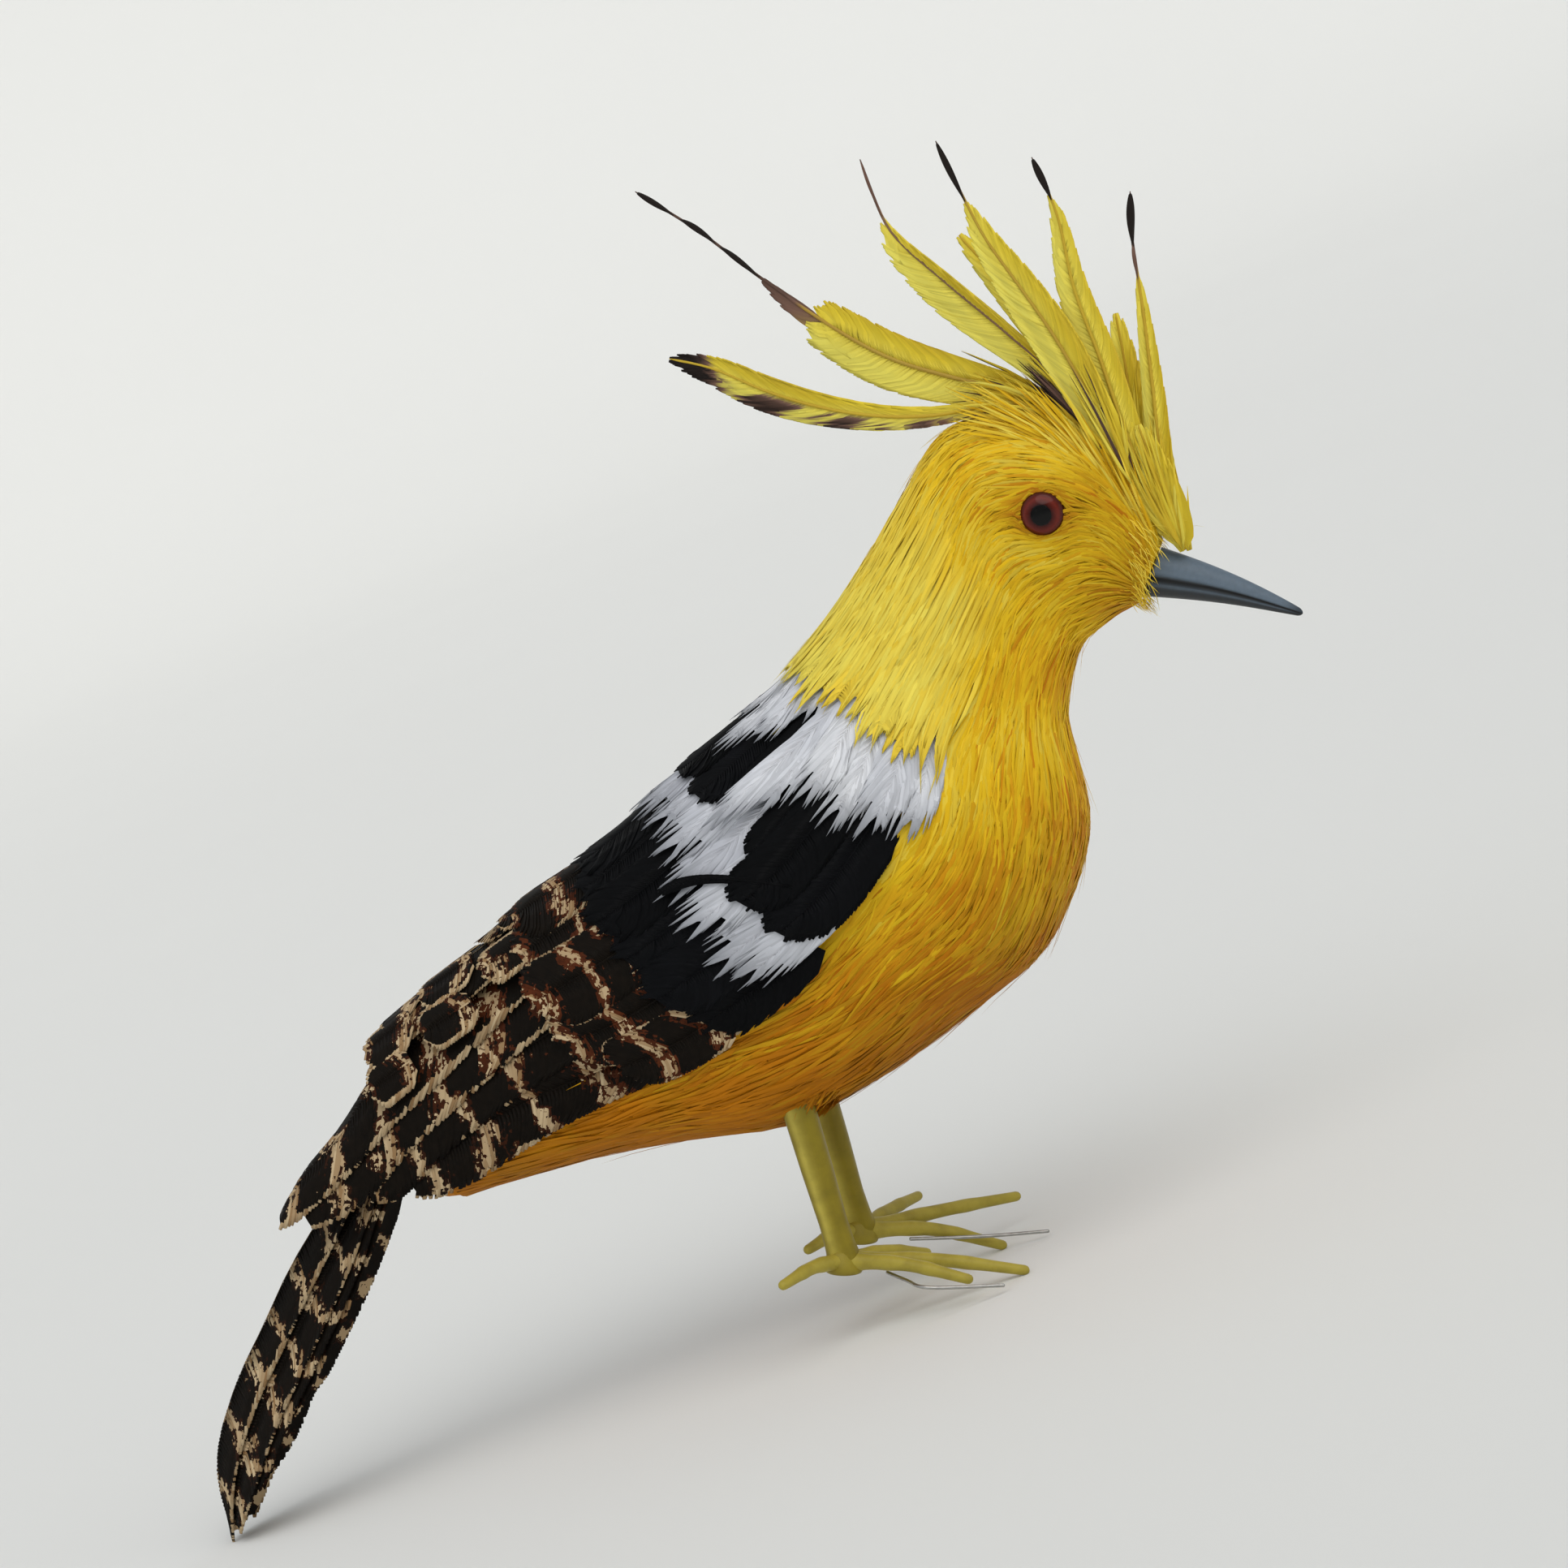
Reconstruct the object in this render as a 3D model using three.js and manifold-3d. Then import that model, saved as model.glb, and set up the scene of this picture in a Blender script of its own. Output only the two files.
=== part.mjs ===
// A craft hoopoe: a foam bird dressed in dyed feathers, with a plastic beak, eyes and legs.
// Millimetres, +Z up. The bird is shaped in its perch frame, with X towards the beak, Y to its left
// and the soles at z = 0, and is then pitched as a whole until toes and tail tip stand on z = 0.

import * as THREE from "three";
import { mergeVertices } from "three/addons/utils/BufferGeometryUtils.js";
import Module from "manifold-3d";

const wasm = await Module();
wasm.setup();

// Sizes of the whole bird
const BIRD_LENGTH = 300; // beak tip to tail tip along the slanting body
const FIT_GAP = 0.3; // between pieces that touch
const BODY_SIDES = 26; // facets round the body
const BODY_RINGS = 30; // facets along the body

// Plumage layers: feathers lie over each other like roof tiles
const FEATHER_THICKNESS = 0.6;
const FEATHER_LAYER = 1.1; // from one layer of feathers to the next
const SKIN_GAP = 0.5; // under the lowest layer
const WING_LAYER_HEIGHT = 2.9; // room kept for the long wing feathers under the rows
const ROW_LENGTH = 3.2; // length of a row's feathers, in stations of the body
const ROW_REACH = 100; // degrees from the ridge of the back to a row's lower edge
const ROW_FEATHERS = 10; // feathers in a row
const ROW_NOTCH = 0.45; // depth of the notches between feather tips, in stations
const WING_FEATHER_WIDTH = 14;
const WING_FEATHER_SPACING = 27; // degrees
const WING_TOP_EDGE = 4; // degrees from the ridge of the back to the first wing feather
const RUMP_FEATHER_WIDTH = 16;

// Beak, eyes, legs
const BEAK_LENGTH = 32.4;
const BEAK_DEPTH = 11.2;
const BEAK_WIDTH = 9.6;
const BEAK_SIDES = 14;
const GAPE_GROOVE = 0.45; // depth of the groove between the upper and the lower beak
const EYE_DIAMETER = 9.2;
const EYE_DEPTH = 5.2; // of the domed glass, front to back
const EYE_STANDS_OUT = 1.9;
const SHANK_WIDTH = 7.2;
const SHANK_THICKNESS = 5.8;
const SHANK_IN_BODY = 12; // length of the shank pushed into the foam
const ANKLE_HEIGHT = 3;
const LEG_SPREAD = 24; // between the two ankles
const TOE_DIAMETER = 3.4;
const TOE_TIP_DIAMETER = 2.2;
const TOE_ARCH = 1.3; // rise of a toe's underside halfway
const FOOT_PAD_DIAMETER = 8.4;
const FOOT_PAD_HEIGHT = 2.4;
const FOOT_WIRE_DIAMETER = 0.8;

// Crest and tail
const QUILL_THICKNESS = 1;
const VANE_THICKNESS = 0.4;
const TAIL_DEPTH = 18; // of the roof that the tail feathers form, ridge to lower edge
const TAIL_HALF_WIDTH = 8;
const TAIL_FEATHER_SHARE = 0.66; // width of a tail feather as a share of the roof's side
const TAIL_FEATHER_STEP = 0.14; // from one tail feather to the next, as a share of the roof's side

// The body's stations from the beak to the wing tips, in per cent of the bird's length:
// back x, z; breast x, z; half width; depth of the feather cover that lies over the foam.
const STATIONS = [
  [21.6, 52.4, 20.1, 48.1, 2.1, 0],
  [19.5, 55.6, 19.7, 47.9, 3.6, 0],
  [16.6, 59.0, 19.1, 47.6, 4.7, 0],
  [13.5, 60.6, 18.3, 47.2, 5.3, 0],
  [10.0, 60.8, 17.5, 46.5, 5.6, 0],
  [6.7, 59.9, 16.6, 45.8, 5.7, 0],
  [4.6, 57.4, 16.0, 45.1, 5.7, 0.1],
  [3.0, 54.0, 15.5, 43.9, 5.8, 0.25],
  [0.8, 50.0, 15.2, 42.0, 6.2, 0.4],
  [-1.8, 46.1, 15.0, 39.7, 7.1, 0.6],
  [-5.3, 42.1, 15.7, 37.1, 8.8, 0.9],
  [-7.6, 40.1, 16.6, 33.1, 10.1, 1.1],
  [-9.7, 38.3, 16.3, 29.6, 10.8, 1.2],
  [-11.7, 36.4, 15.1, 26.1, 11.1, 1.4],
  [-13.8, 34.4, 13.3, 22.8, 11.1, 1.8],
  [-16.0, 32.2, 10.1, 19.9, 10.9, 2.1],
  [-18.5, 29.8, 5.8, 16.3, 10.5, 2.1],
  [-21.2, 27.6, 0.9, 12.8, 9.8, 2.1],
  [-24.0, 25.3, -4.4, 9.9, 9.0, 2.1],
  [-27.0, 22.4, -10.6, 8.7, 8.0, 2.1],
  [-30.2, 19.4, -17.2, 7.2, 7.0, 2.0],
  [-33.2, 16.3, -23.2, 5.3, 6.1, 1.8],
  [-35.5, 13.2, -28.0, 3.6, 5.3, 1.4],
  [-37.7, 9.0, -31.9, 2.0, 4.6, 1.0],
  [-40.3, 5.3, -36.0, -0.3, 4.1, 0.8],
  [-42.3, 1.7, -38.7, -2.0, 3.7, 0.8],
];
const BODY_END = 22.0; // station where the foam begins to round off, under the wing tips
const BODY_END_BULGE = 0.6; // length of the rounded end, in stations
const BODY_END_ROUNDING = 7; // radius of the rounded end
const COVER_EDGE = [98, 138]; // degrees between which the feather cover thins out towards the belly
const WING_ROOM = [12, 15]; // stations between which the rows rise over the wing feathers

// Rows of feathers from the neck to the rump: station of the tips on the ridge and at the lower edge
const FEATHER_ROWS = [
  { name: "mantle_feathers", ridge: 10.0, edge: 11.5, colour: 0xe3cb3c },
  { name: "white_back_feathers_front", ridge: 11.5, edge: 13.8, colour: 0xd9dade },
  { name: "black_back_feathers_front", ridge: 13.3, edge: 15.6, colour: 0x101214 },
  { name: "white_back_feathers_rear", ridge: 14.7, edge: 16.8, colour: 0xd9dade },
  { name: "black_back_feathers_rear", ridge: 16.3, edge: 17.9, colour: 0x101214 },
  { name: "barred_wing_coverts", ridge: 17.6, edge: 19.1, colour: 0x3a2c20 },
];
// Single feathers down the middle of the rump: station of the tip, turn from the ridge in degrees
const RUMP_FEATHERS = [
  { tip: 19.1, turn: 9 },
  { tip: 20.3, turn: -9 },
  { tip: 21.6, turn: 0 },
];
// Long feathers of each wing, from the upper one to the lower one: stations of root and tip
const WING_FEATHERS = [
  { root: 16.2, tip: 25.0 },
  { root: 16.0, tip: 24.4 },
  { root: 15.8, tip: 23.2 },
  { root: 15.6, tip: 22.5 },
];

// Crest feathers from the neck to the beak. Path: shaft points x, z in per cent of the bird's
// length, root first. Sideways: distance to the bird's left at root and tip, in millimetres.
// Vane: where it starts and ends along the shaft, and its widest half widths behind and before it.
const CREST_FEATHERS = [
  { path: [[15.3, 60.9], [10, 61.6], [5.5, 60.9], [2, 60.8], [-2, 61.3], [-6, 62.4], [-10, 64], [-12.9, 64.6]],
    sideways: [-0.6, -3], vane: [0.3, 1, 2.8, 3.8] },
  { path: [[15.9, 60.7], [10.7, 62.6], [6.7, 63.5], [2.7, 64.6], [-1, 66.4], [-7, 70.3], [-11, 73.2], [-15.7, 76]],
    sideways: [0.8, 4], vane: [0.12, 0.56, 6.4, 6.4] },
  { path: [[16.9, 60], [14.3, 63.6], [10.6, 66.9], [6.5, 70.2], [2.7, 73.6], [1.3, 76.4], [0.5, 78.6]],
    sideways: [-2, -3.2], vane: [0.12, 0.82, 1.6, 5.4] },
  { path: [[17.5, 59.3], [15.4, 62.9], [12.7, 66.8], [9.7, 70.4], [7, 73.2]],
    sideways: [2.2, 6], vane: [0.15, 1, 3.4, 3.4] },
  { path: [[18.9, 57.9], [16.6, 62.4], [14, 66.8], [11.6, 70.2], [9.3, 73.4], [8, 75.8], [5.9, 80]],
    sideways: [-3.5, -7], vane: [0.14, 0.8, 4.4, 5] },
  { path: [[20.7, 55.6], [18.9, 60.6], [17.2, 65.2], [15.4, 69.9], [14.1, 75.2], [12.4, 78.9]],
    sideways: [-0.6, -4], vane: [0.16, 0.88, 4.4, 4.4] },
  { path: [[20.3, 56.4], [19.4, 60.3], [18.7, 64.3], [17.9, 67.9]],
    sideways: [3.4, 8], vane: [0.2, 1, 3.2, 3.2] },
  { path: [[22.1, 53.7], [21.4, 57.5], [20.8, 62.7], [20, 68.4], [19.1, 74], [19, 76.5]],
    sideways: [0.9, 2], vane: [0.14, 0.72, 2.2, 2] },
  { path: [[21.8, 54.1], [21, 57.2], [19.9, 60.6]],
    sideways: [-2.2, -3], vane: [0.1, 1, 2.2, 2.2] },
];

// Tail: line through the middle of its roof, x, z in per cent of the bird's length, and how deep
// and how wide the roof is there, as a share of its full size
const TAIL_LINE = [[-33.4, 5], [-35.4, 0.9], [-37.6, -3.8], [-40, -8.9], [-42.2, -13.6], [-43.9, -18.8], [-44.7, -24]];
const TAIL_SWELL = [0.62, 0.86, 1, 1, 1, 0.9, 0.4];
const TAIL_FEATHER_TIPS = [0.97, 0.87, 0.68]; // share of the tail's length, from the ridge outwards
const TAIL_RIDGE_FEATHER_SHARE = 0.3; // half width of the feather on the ridge
const TAIL_RIDGE_SHARPNESS = 1.5; // how far the ridge stands out for each millimetre of lift beside it

// Toes: name, direction in degrees from straight ahead (to the left is positive), length, lift of tip
const RIGHT_TOES = [
  { turn: 5, length: 38.5, rise: 0 },
  { turn: -12, length: 28, rise: 0.2 },
  { turn: 36, length: 20, rise: 0.4 },
  { turn: -124, length: 19, rise: 0 },
];
const LEFT_TOES = [
  { turn: 17, length: 31.5, rise: 0, onPlane: true },
  { turn: 36, length: 39, rise: 4 },
  { turn: 66, length: 24, rise: 3.4 },
  { turn: -126, length: 16, rise: 0.2 },
];
const SHANK_TOP = [-9.7, 35.1]; // x and z where the shanks enter the belly
// Foot wires: points from below the ankle, to the left positive
const RIGHT_WIRE = [[9.5, -1, 0.5], [14.5, -6.4, 0.5], [18.5, -10.6, 0.5], [35, -7, 0.6]];
const LEFT_WIRE = [[11, 1.4, 0.5], [19, 3.6, 0.5], [28.5, 5.4, 0.9], [40.5, 5.6, 2.4]];
const BEAK_POINT = [31.33, 47.6]; // beak tip, in per cent of the bird's length
const EYE_PLACE = [13.8, 54.9]; // x and z of the eyes, in per cent of the bird's length
const EYE_STATION = 4.2; // station of the head where the eyes sit

const percent = BIRD_LENGTH / 100;
const radians = Math.PI / 180;
const leftward = new THREE.Vector3(0, 1, 0);

const smoothStep = (from, to, value) => THREE.MathUtils.smoothstep(value, from, to);
const spot = (x, z, y = 0) => new THREE.Vector3(x * percent, y, z * percent);

const backLine = new THREE.CatmullRomCurve3(STATIONS.map((s) => spot(s[0], s[1])), false, "catmullrom", 0.5);
const breastLine = new THREE.CatmullRomCurve3(STATIONS.map((s) => spot(s[2], s[3])), false, "catmullrom", 0.5);
const girthLine = new THREE.CatmullRomCurve3(STATIONS.map((s) => spot(s[4], s[5])), false, "catmullrom", 0.5);

// The body's cross-section at a station: an ellipse between the back line and the breast line.
function sectionAt(station) {
  const t = THREE.MathUtils.clamp(station / (STATIONS.length - 1), 0, 1);
  const back = backLine.getPoint(t);
  const breast = breastLine.getPoint(t);
  const girth = girthLine.getPoint(t);
  return {
    centre: back.clone().add(breast).multiplyScalar(0.5),
    up: back.clone().sub(breast).normalize(),
    halfDepth: back.distanceTo(breast) / 2,
    halfWidth: girth.x,
    cover: girth.z,
  };
}

// A point on the foam at a station, turned from the ridge by an angle (left is positive), lifted off it.
function bodyPoint(station, degrees, lift) {
  const section = sectionAt(station);
  const angle = degrees * radians;
  const normal = section.up.clone().multiplyScalar(Math.cos(angle) / section.halfDepth);
  normal.addScaledVector(leftward, Math.sin(angle) / section.halfWidth).normalize();
  const sunk = section.cover * (1 - smoothStep(COVER_EDGE[0], COVER_EDGE[1], Math.abs(degrees)));
  return section.centre
    .clone()
    .addScaledVector(section.up, section.halfDepth * Math.cos(angle))
    .addScaledVector(leftward, section.halfWidth * Math.sin(angle))
    .addScaledVector(normal, lift - sunk);
}

// Radius of the body at a station and an angle, which turns a width into degrees.
function radiusAt(station, degrees) {
  const section = sectionAt(station);
  const angle = degrees * radians;
  return Math.hypot(section.halfDepth * Math.sin(angle), section.halfWidth * Math.cos(angle));
}

// A closed geometry from points and triangles, with its faces turned outwards.
function closedGeometry(points, triangles) {
  let volume = 0;
  for (let i = 0; i < triangles.length; i += 3) {
    const [a, b, c] = [0, 1, 2].map((k) => points[triangles[i + k]]);
    volume += a.dot(b.clone().cross(c));
  }
  const facing = volume < 0 ? triangles.slice().reverse() : triangles;
  return new THREE.BufferGeometry().setFromPoints(points).setIndex(facing);
}

// A solid through rings of points, closed at both ends.
function loft(rings) {
  const sides = rings[0].length;
  const points = rings.flat();
  const triangles = [];
  for (let ring = 0; ring + 1 < rings.length; ring++)
    for (let side = 0; side < sides; side++) {
      const a = ring * sides + side;
      const b = ring * sides + ((side + 1) % sides);
      triangles.push(a, b, b + sides, a, b + sides, a + sides);
    }
  for (const [ring, turned] of [[0, true], [rings.length - 1, false]]) {
    const middle = points.length;
    points.push(rings[ring].reduce((sum, p) => sum.add(p), new THREE.Vector3()).divideScalar(sides));
    for (let side = 0; side < sides; side++) {
      const a = ring * sides + side;
      const b = ring * sides + ((side + 1) % sides);
      triangles.push(middle, ...(turned ? [b, a] : [a, b]));
    }
  }
  return closedGeometry(points, triangles);
}

// A thin closed sheet: upper and lower give the points of its two faces over a grid.
function sheet(columns, rows, upper, lower) {
  const points = [];
  const triangles = [];
  const index = (face, i, j) => face * (columns + 1) * (rows + 1) + j * (columns + 1) + i;
  for (const face of [upper, lower])
    for (let j = 0; j <= rows; j++)
      for (let i = 0; i <= columns; i++) points.push(face(i / columns, j / rows));
  const quad = (a, b, c, d) => triangles.push(a, b, c, a, c, d);
  for (let j = 0; j < rows; j++)
    for (let i = 0; i < columns; i++) {
      quad(index(0, i, j), index(0, i + 1, j), index(0, i + 1, j + 1), index(0, i, j + 1));
      quad(index(1, i, j + 1), index(1, i + 1, j + 1), index(1, i + 1, j), index(1, i, j));
    }
  for (let i = 0; i < columns; i++) {
    quad(index(1, i, 0), index(1, i + 1, 0), index(0, i + 1, 0), index(0, i, 0));
    quad(index(0, i, rows), index(0, i + 1, rows), index(1, i + 1, rows), index(1, i, rows));
  }
  for (let j = 0; j < rows; j++) {
    quad(index(0, 0, j), index(0, 0, j + 1), index(1, 0, j + 1), index(1, 0, j));
    quad(index(1, columns, j), index(1, columns, j + 1), index(0, columns, j + 1), index(0, columns, j));
  }
  return closedGeometry(points, triangles);
}

// Joining and cutting
function toSolid(geometry) {
  const bare = new THREE.BufferGeometry().setAttribute("position", geometry.getAttribute("position").clone());
  if (geometry.index) bare.setIndex(geometry.index.clone());
  const merged = mergeVertices(bare, 1e-4);
  return new wasm.Manifold(
    new wasm.Mesh({
      numProp: 3,
      vertProperties: new Float32Array(merged.attributes.position.array),
      triVerts: new Uint32Array(merged.index.array),
    }),
  );
}

function toGeometry(solid) {
  const mesh = solid.getMesh();
  return new THREE.BufferGeometry()
    .setAttribute("position", new THREE.BufferAttribute(mesh.vertProperties, 3))
    .setIndex(new THREE.BufferAttribute(mesh.triVerts, 1));
}

// Materials
const finish = (color, roughness) => new THREE.MeshStandardMaterial({ color, roughness, metalness: 0 });
const plumageYellow = finish(0xdcae22, 0.8);
const crestYellow = finish(0xe6d050, 0.7);
const barredBrown = finish(0x3a2c20, 0.7);
const slateBeak = finish(0x566270, 0.35);
const olivePlastic = finish(0xa09a3a, 0.45);
const redBrownEye = finish(0x4a1a10, 0.1);
const wireSteel = new THREE.MeshStandardMaterial({ color: 0xa8a8a4, roughness: 0.35, metalness: 1 });

function named(name, geometry, material) {
  const mesh = new THREE.Mesh(geometry, material);
  mesh.name = name;
  return mesh;
}

// A tube with flat ends along a line of points, with a radius for each point.
function roundTube(line, radii, steps, sides) {
  const curve = new THREE.CatmullRomCurve3(line);
  const rings = [];
  for (let step = 0; step <= steps; step++) {
    const t = step / steps;
    const along = curve.getTangentAt(t);
    const level = new THREE.Vector3().crossVectors(leftward, along);
    if (level.length() < 0.1) level.set(0, 0, 1);
    level.normalize();
    const across = new THREE.Vector3().crossVectors(along, level).normalize();
    const radius = radii(t);
    const centre = curve.getPointAt(t);
    rings.push(
      Array.from({ length: sides }, (_, side) => {
        const angle = ((side + 0.5) / sides) * 2 * Math.PI;
        return centre
          .clone()
          .addScaledVector(across, radius * Math.cos(angle))
          .addScaledVector(level, radius * Math.sin(angle));
      }),
    );
  }
  return loft(rings);
}

// Body: the foam with its sockets for eyes and shanks
function eyeCentre(side) {
  const sideways = sectionAt(EYE_STATION).halfWidth - EYE_DEPTH / 2 + EYE_STANDS_OUT;
  return spot(EYE_PLACE[0], EYE_PLACE[1], side * sideways);
}

function eyeBall(side, clearance) {
  const ball = new THREE.SphereGeometry(1, 12, 8);
  ball.scale(EYE_DIAMETER / 2 + clearance, EYE_DEPTH / 2 + clearance, EYE_DIAMETER / 2 + clearance);
  return ball.translate(...eyeCentre(side).toArray());
}

// A shank: a straight rod with rounded sides, from the ankle up into the foam.
function shankRod(side, clearance) {
  const ankle = new THREE.Vector3(0, (side * LEG_SPREAD) / 2, ANKLE_HEIGHT);
  const belly = new THREE.Vector3(SHANK_TOP[0], ankle.y, SHANK_TOP[1]);
  const along = belly.clone().sub(ankle).normalize();
  const top = belly.clone().addScaledVector(along, SHANK_IN_BODY + clearance);
  const foot = ankle.clone().addScaledVector(along, -ANKLE_HEIGHT / 2);
  const forward = new THREE.Vector3().crossVectors(leftward, along).normalize();
  const ring = (centre, share) =>
    Array.from({ length: 8 }, (_, k) => {
      const angle = ((k + 0.5) / 8) * 2 * Math.PI;
      return centre
        .clone()
        .addScaledVector(forward, ((SHANK_WIDTH * share) / 2 + clearance) * Math.cos(angle))
        .addScaledVector(leftward, ((SHANK_THICKNESS * share) / 2 + clearance) * Math.sin(angle));
    });
  return loft([ring(foot, 0.84), ring(ankle, 0.9), ring(belly, 1), ring(top, 1)]);
}

function bodyFoam() {
  const ringAt = (station, lift) =>
    Array.from({ length: BODY_SIDES }, (_, side) => bodyPoint(station, (side / BODY_SIDES) * 360 - 180, lift));
  const rings = Array.from({ length: BODY_RINGS + 1 }, (_, ring) => ringAt((ring / BODY_RINGS) * BODY_END, 0));
  for (const turn of [40, 75]) {
    const rounding = BODY_END_ROUNDING * (1 - Math.cos(turn * radians));
    rings.push(ringAt(BODY_END + BODY_END_BULGE * Math.sin(turn * radians), -rounding));
  }
  let foam = toSolid(loft(rings));
  for (const side of [-1, 1]) {
    foam = foam.subtract(toSolid(eyeBall(side, FIT_GAP)));
    foam = foam.subtract(toSolid(shankRod(side, FIT_GAP)));
  }
  return toGeometry(foam);
}

// Beak: a tapering loft that droops a little, with a groove along each side where it would open
function beakSolid() {
  const face = sectionAt(0);
  const outwards = new THREE.Vector3().crossVectors(leftward, face.up).normalize();
  const root = face.centre.clone().addScaledVector(outwards, FIT_GAP);
  const point = spot(BEAK_POINT[0], BEAK_POINT[1]);
  const along = point.clone().sub(root).normalize();
  const upwards = new THREE.Vector3().crossVectors(along, leftward).normalize();
  const rings = [0, 0.2, 0.45, 0.7, 0.9, 1].map((t) => {
    const centre = root.clone().addScaledVector(along, t * BEAK_LENGTH);
    centre.addScaledVector(upwards, 0.11 * BEAK_DEPTH * Math.sin(Math.PI * t));
    const share = 0.08 + 0.92 * (1 - t) ** 0.85;
    return Array.from({ length: BEAK_SIDES }, (_, side) => {
      const angle = (side / BEAK_SIDES) * 2 * Math.PI;
      const sideways = Math.cos(angle);
      const groove = Math.abs(sideways) > 0.99 ? GAPE_GROOVE * share : 0;
      const outline = centre
        .clone()
        .addScaledVector(leftward, Math.sign(sideways) * (Math.abs(sideways) * (BEAK_WIDTH / 2) * share - groove))
        .addScaledVector(upwards, (BEAK_DEPTH / 2) * share * Math.sin(angle));
      return t === 0 ? outline.addScaledVector(outwards, -outline.clone().sub(root).dot(outwards)) : outline;
    });
  });
  return loft(rings);
}

// Rows of feathers. The layer count rises by one at each row's root line, so that each row
// lies one layer above the next row everywhere.
const edgeShare = (degrees) => Math.min(Math.abs(degrees) / ROW_REACH, 1.2);
const rowRoot = (row, degrees) => row.ridge + (row.edge - row.ridge) * edgeShare(degrees) ** 1.3 - ROW_LENGTH;
const lastRow = FEATHER_ROWS[FEATHER_ROWS.length - 1];
const rootLines = [
  ...FEATHER_ROWS.map((row) => (degrees) => rowRoot(row, degrees)),
  ...RUMP_FEATHERS.map(({ tip }) => (degrees) => rowRoot(lastRow, degrees) + tip - lastRow.ridge),
];

function layerCount(station, degrees) {
  const roots = rootLines.map((line) => line(degrees));
  let k = roots.findIndex((root) => root > station);
  if (k === -1) k = roots.length - 1;
  k = Math.max(k, 1);
  return k - 1 + (station - roots[k - 1]) / Math.max(roots[k] - roots[k - 1], 0.3);
}

function rowLift(order, station, degrees) {
  const layers = layerCount(station, degrees) - order;
  return SKIN_GAP + FEATHER_LAYER * layers + WING_LAYER_HEIGHT * smoothStep(WING_ROOM[0], WING_ROOM[1], station);
}

function featherRow(row, order) {
  const columns = 2 * ROW_FEATHERS;
  const place = (u, v) => {
    const degrees = (2 * u - 1) * ROW_REACH;
    const atNotch = Math.round(u * columns) % 2 === 0;
    const length = ROW_LENGTH - (atNotch ? ROW_NOTCH : 0);
    return [rowRoot(row, degrees) + v * length, degrees];
  };
  const face = (thickness) => (u, v) => {
    const [station, degrees] = place(u, v);
    return bodyPoint(station, degrees, rowLift(order, station, degrees) + thickness);
  };
  return sheet(columns, 3, face(FEATHER_THICKNESS), face(0));
}

// How wide a feather is along its length, as a share: narrow at the root and rounded at the tip
const featherSwell = (v) => Math.min(0.55 + 2.2 * v, 1) * Math.sqrt(Math.max(1 - ((v - 0.8) / 0.21) ** 2 * (v > 0.8), 0.06));

function rumpFeather(feather, order) {
  const face = (thickness) => (u, v) => {
    const station = feather.tip - ROW_LENGTH * (1 - v);
    const width = ((RUMP_FEATHER_WIDTH * featherSwell(v)) / radiusAt(station, feather.turn)) / radians;
    const degrees = feather.turn + (u - 0.5) * width;
    return bodyPoint(station, degrees, rowLift(order, station, degrees) + thickness);
  };
  return sheet(2, 6, face(FEATHER_THICKNESS), face(0));
}

// A long wing feather: its lower edge lies over the next feather below, like a clapboard.
function wingFeather(feather, order, side) {
  const topEdge = WING_TOP_EDGE + order * WING_FEATHER_SPACING;
  const face = (thickness) => (u, v) => {
    const station = feather.root + (feather.tip - feather.root) * v;
    const width = WING_FEATHER_WIDTH / radiusAt(station, topEdge) / radians;
    const turned = (0.5 + (u - 0.5) * featherSwell(v)) * width;
    const lift = SKIN_GAP + (FEATHER_LAYER * turned) / WING_FEATHER_SPACING;
    return bodyPoint(station, side * (topEdge + turned), lift + thickness);
  };
  return sheet(2, 9, face(FEATHER_THICKNESS), face(0));
}

// Tail: feathers on the two sides of a roof whose ridge is on the bird's back
const tailLine = new THREE.CatmullRomCurve3(TAIL_LINE.map(([x, z]) => spot(x, z)));
const tailSwell = new THREE.CatmullRomCurve3(TAIL_SWELL.map((s, i) => new THREE.Vector3(i, s, 0)), false, "catmullrom", 0.5);

// A point of the roof: share of the tail's length, share of the side from the ridge, side, lift.
function tailPoint(v, q, side, lift) {
  const centre = tailLine.getPointAt(v);
  const along = tailLine.getTangentAt(v);
  const backwards = new THREE.Vector3().crossVectors(leftward, along).normalize();
  const swell = tailSwell.getPoint(v).y;
  const depth = TAIL_DEPTH * swell;
  const halfWidth = TAIL_HALF_WIDTH * swell;
  const outwards = leftward.clone().multiplyScalar(side * depth).addScaledVector(backwards, halfWidth).normalize();
  return centre
    .addScaledVector(backwards, depth * (0.5 - q))
    .addScaledVector(leftward, side * halfWidth * q)
    .addScaledVector(outwards, lift);
}

const tailLayers = (q) => q / TAIL_FEATHER_STEP;

function tailSideFeather(order, side) {
  const start = 0.04 + order * TAIL_FEATHER_STEP;
  const face = (thickness) => (u, v) => {
    const q = start + (0.5 + (u - 0.5) * featherSwell(v)) * TAIL_FEATHER_SHARE;
    const lift = SKIN_GAP + FEATHER_LAYER * tailLayers(q - start);
    return tailPoint(v * TAIL_FEATHER_TIPS[order], q, side, lift + thickness);
  };
  return sheet(2, 8, face(FEATHER_THICKNESS), face(0));
}

function tailRidgeFeather() {
  const face = (thickness) => (u, v) => {
    const q = Math.abs(2 * u - 1) * TAIL_RIDGE_FEATHER_SHARE * featherSwell(v);
    const side = u < 0.5 ? -1 : 1;
    const lift = SKIN_GAP + FEATHER_LAYER * (tailLayers(q) + 1);
    if (u !== 0.5) return tailPoint(v, q, side, lift + thickness);
    return tailPoint(v, -((lift + thickness) * TAIL_RIDGE_SHARPNESS) / TAIL_DEPTH, 0, 0);
  };
  return sheet(2, 9, face(FEATHER_THICKNESS), face(0));
}

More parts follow.
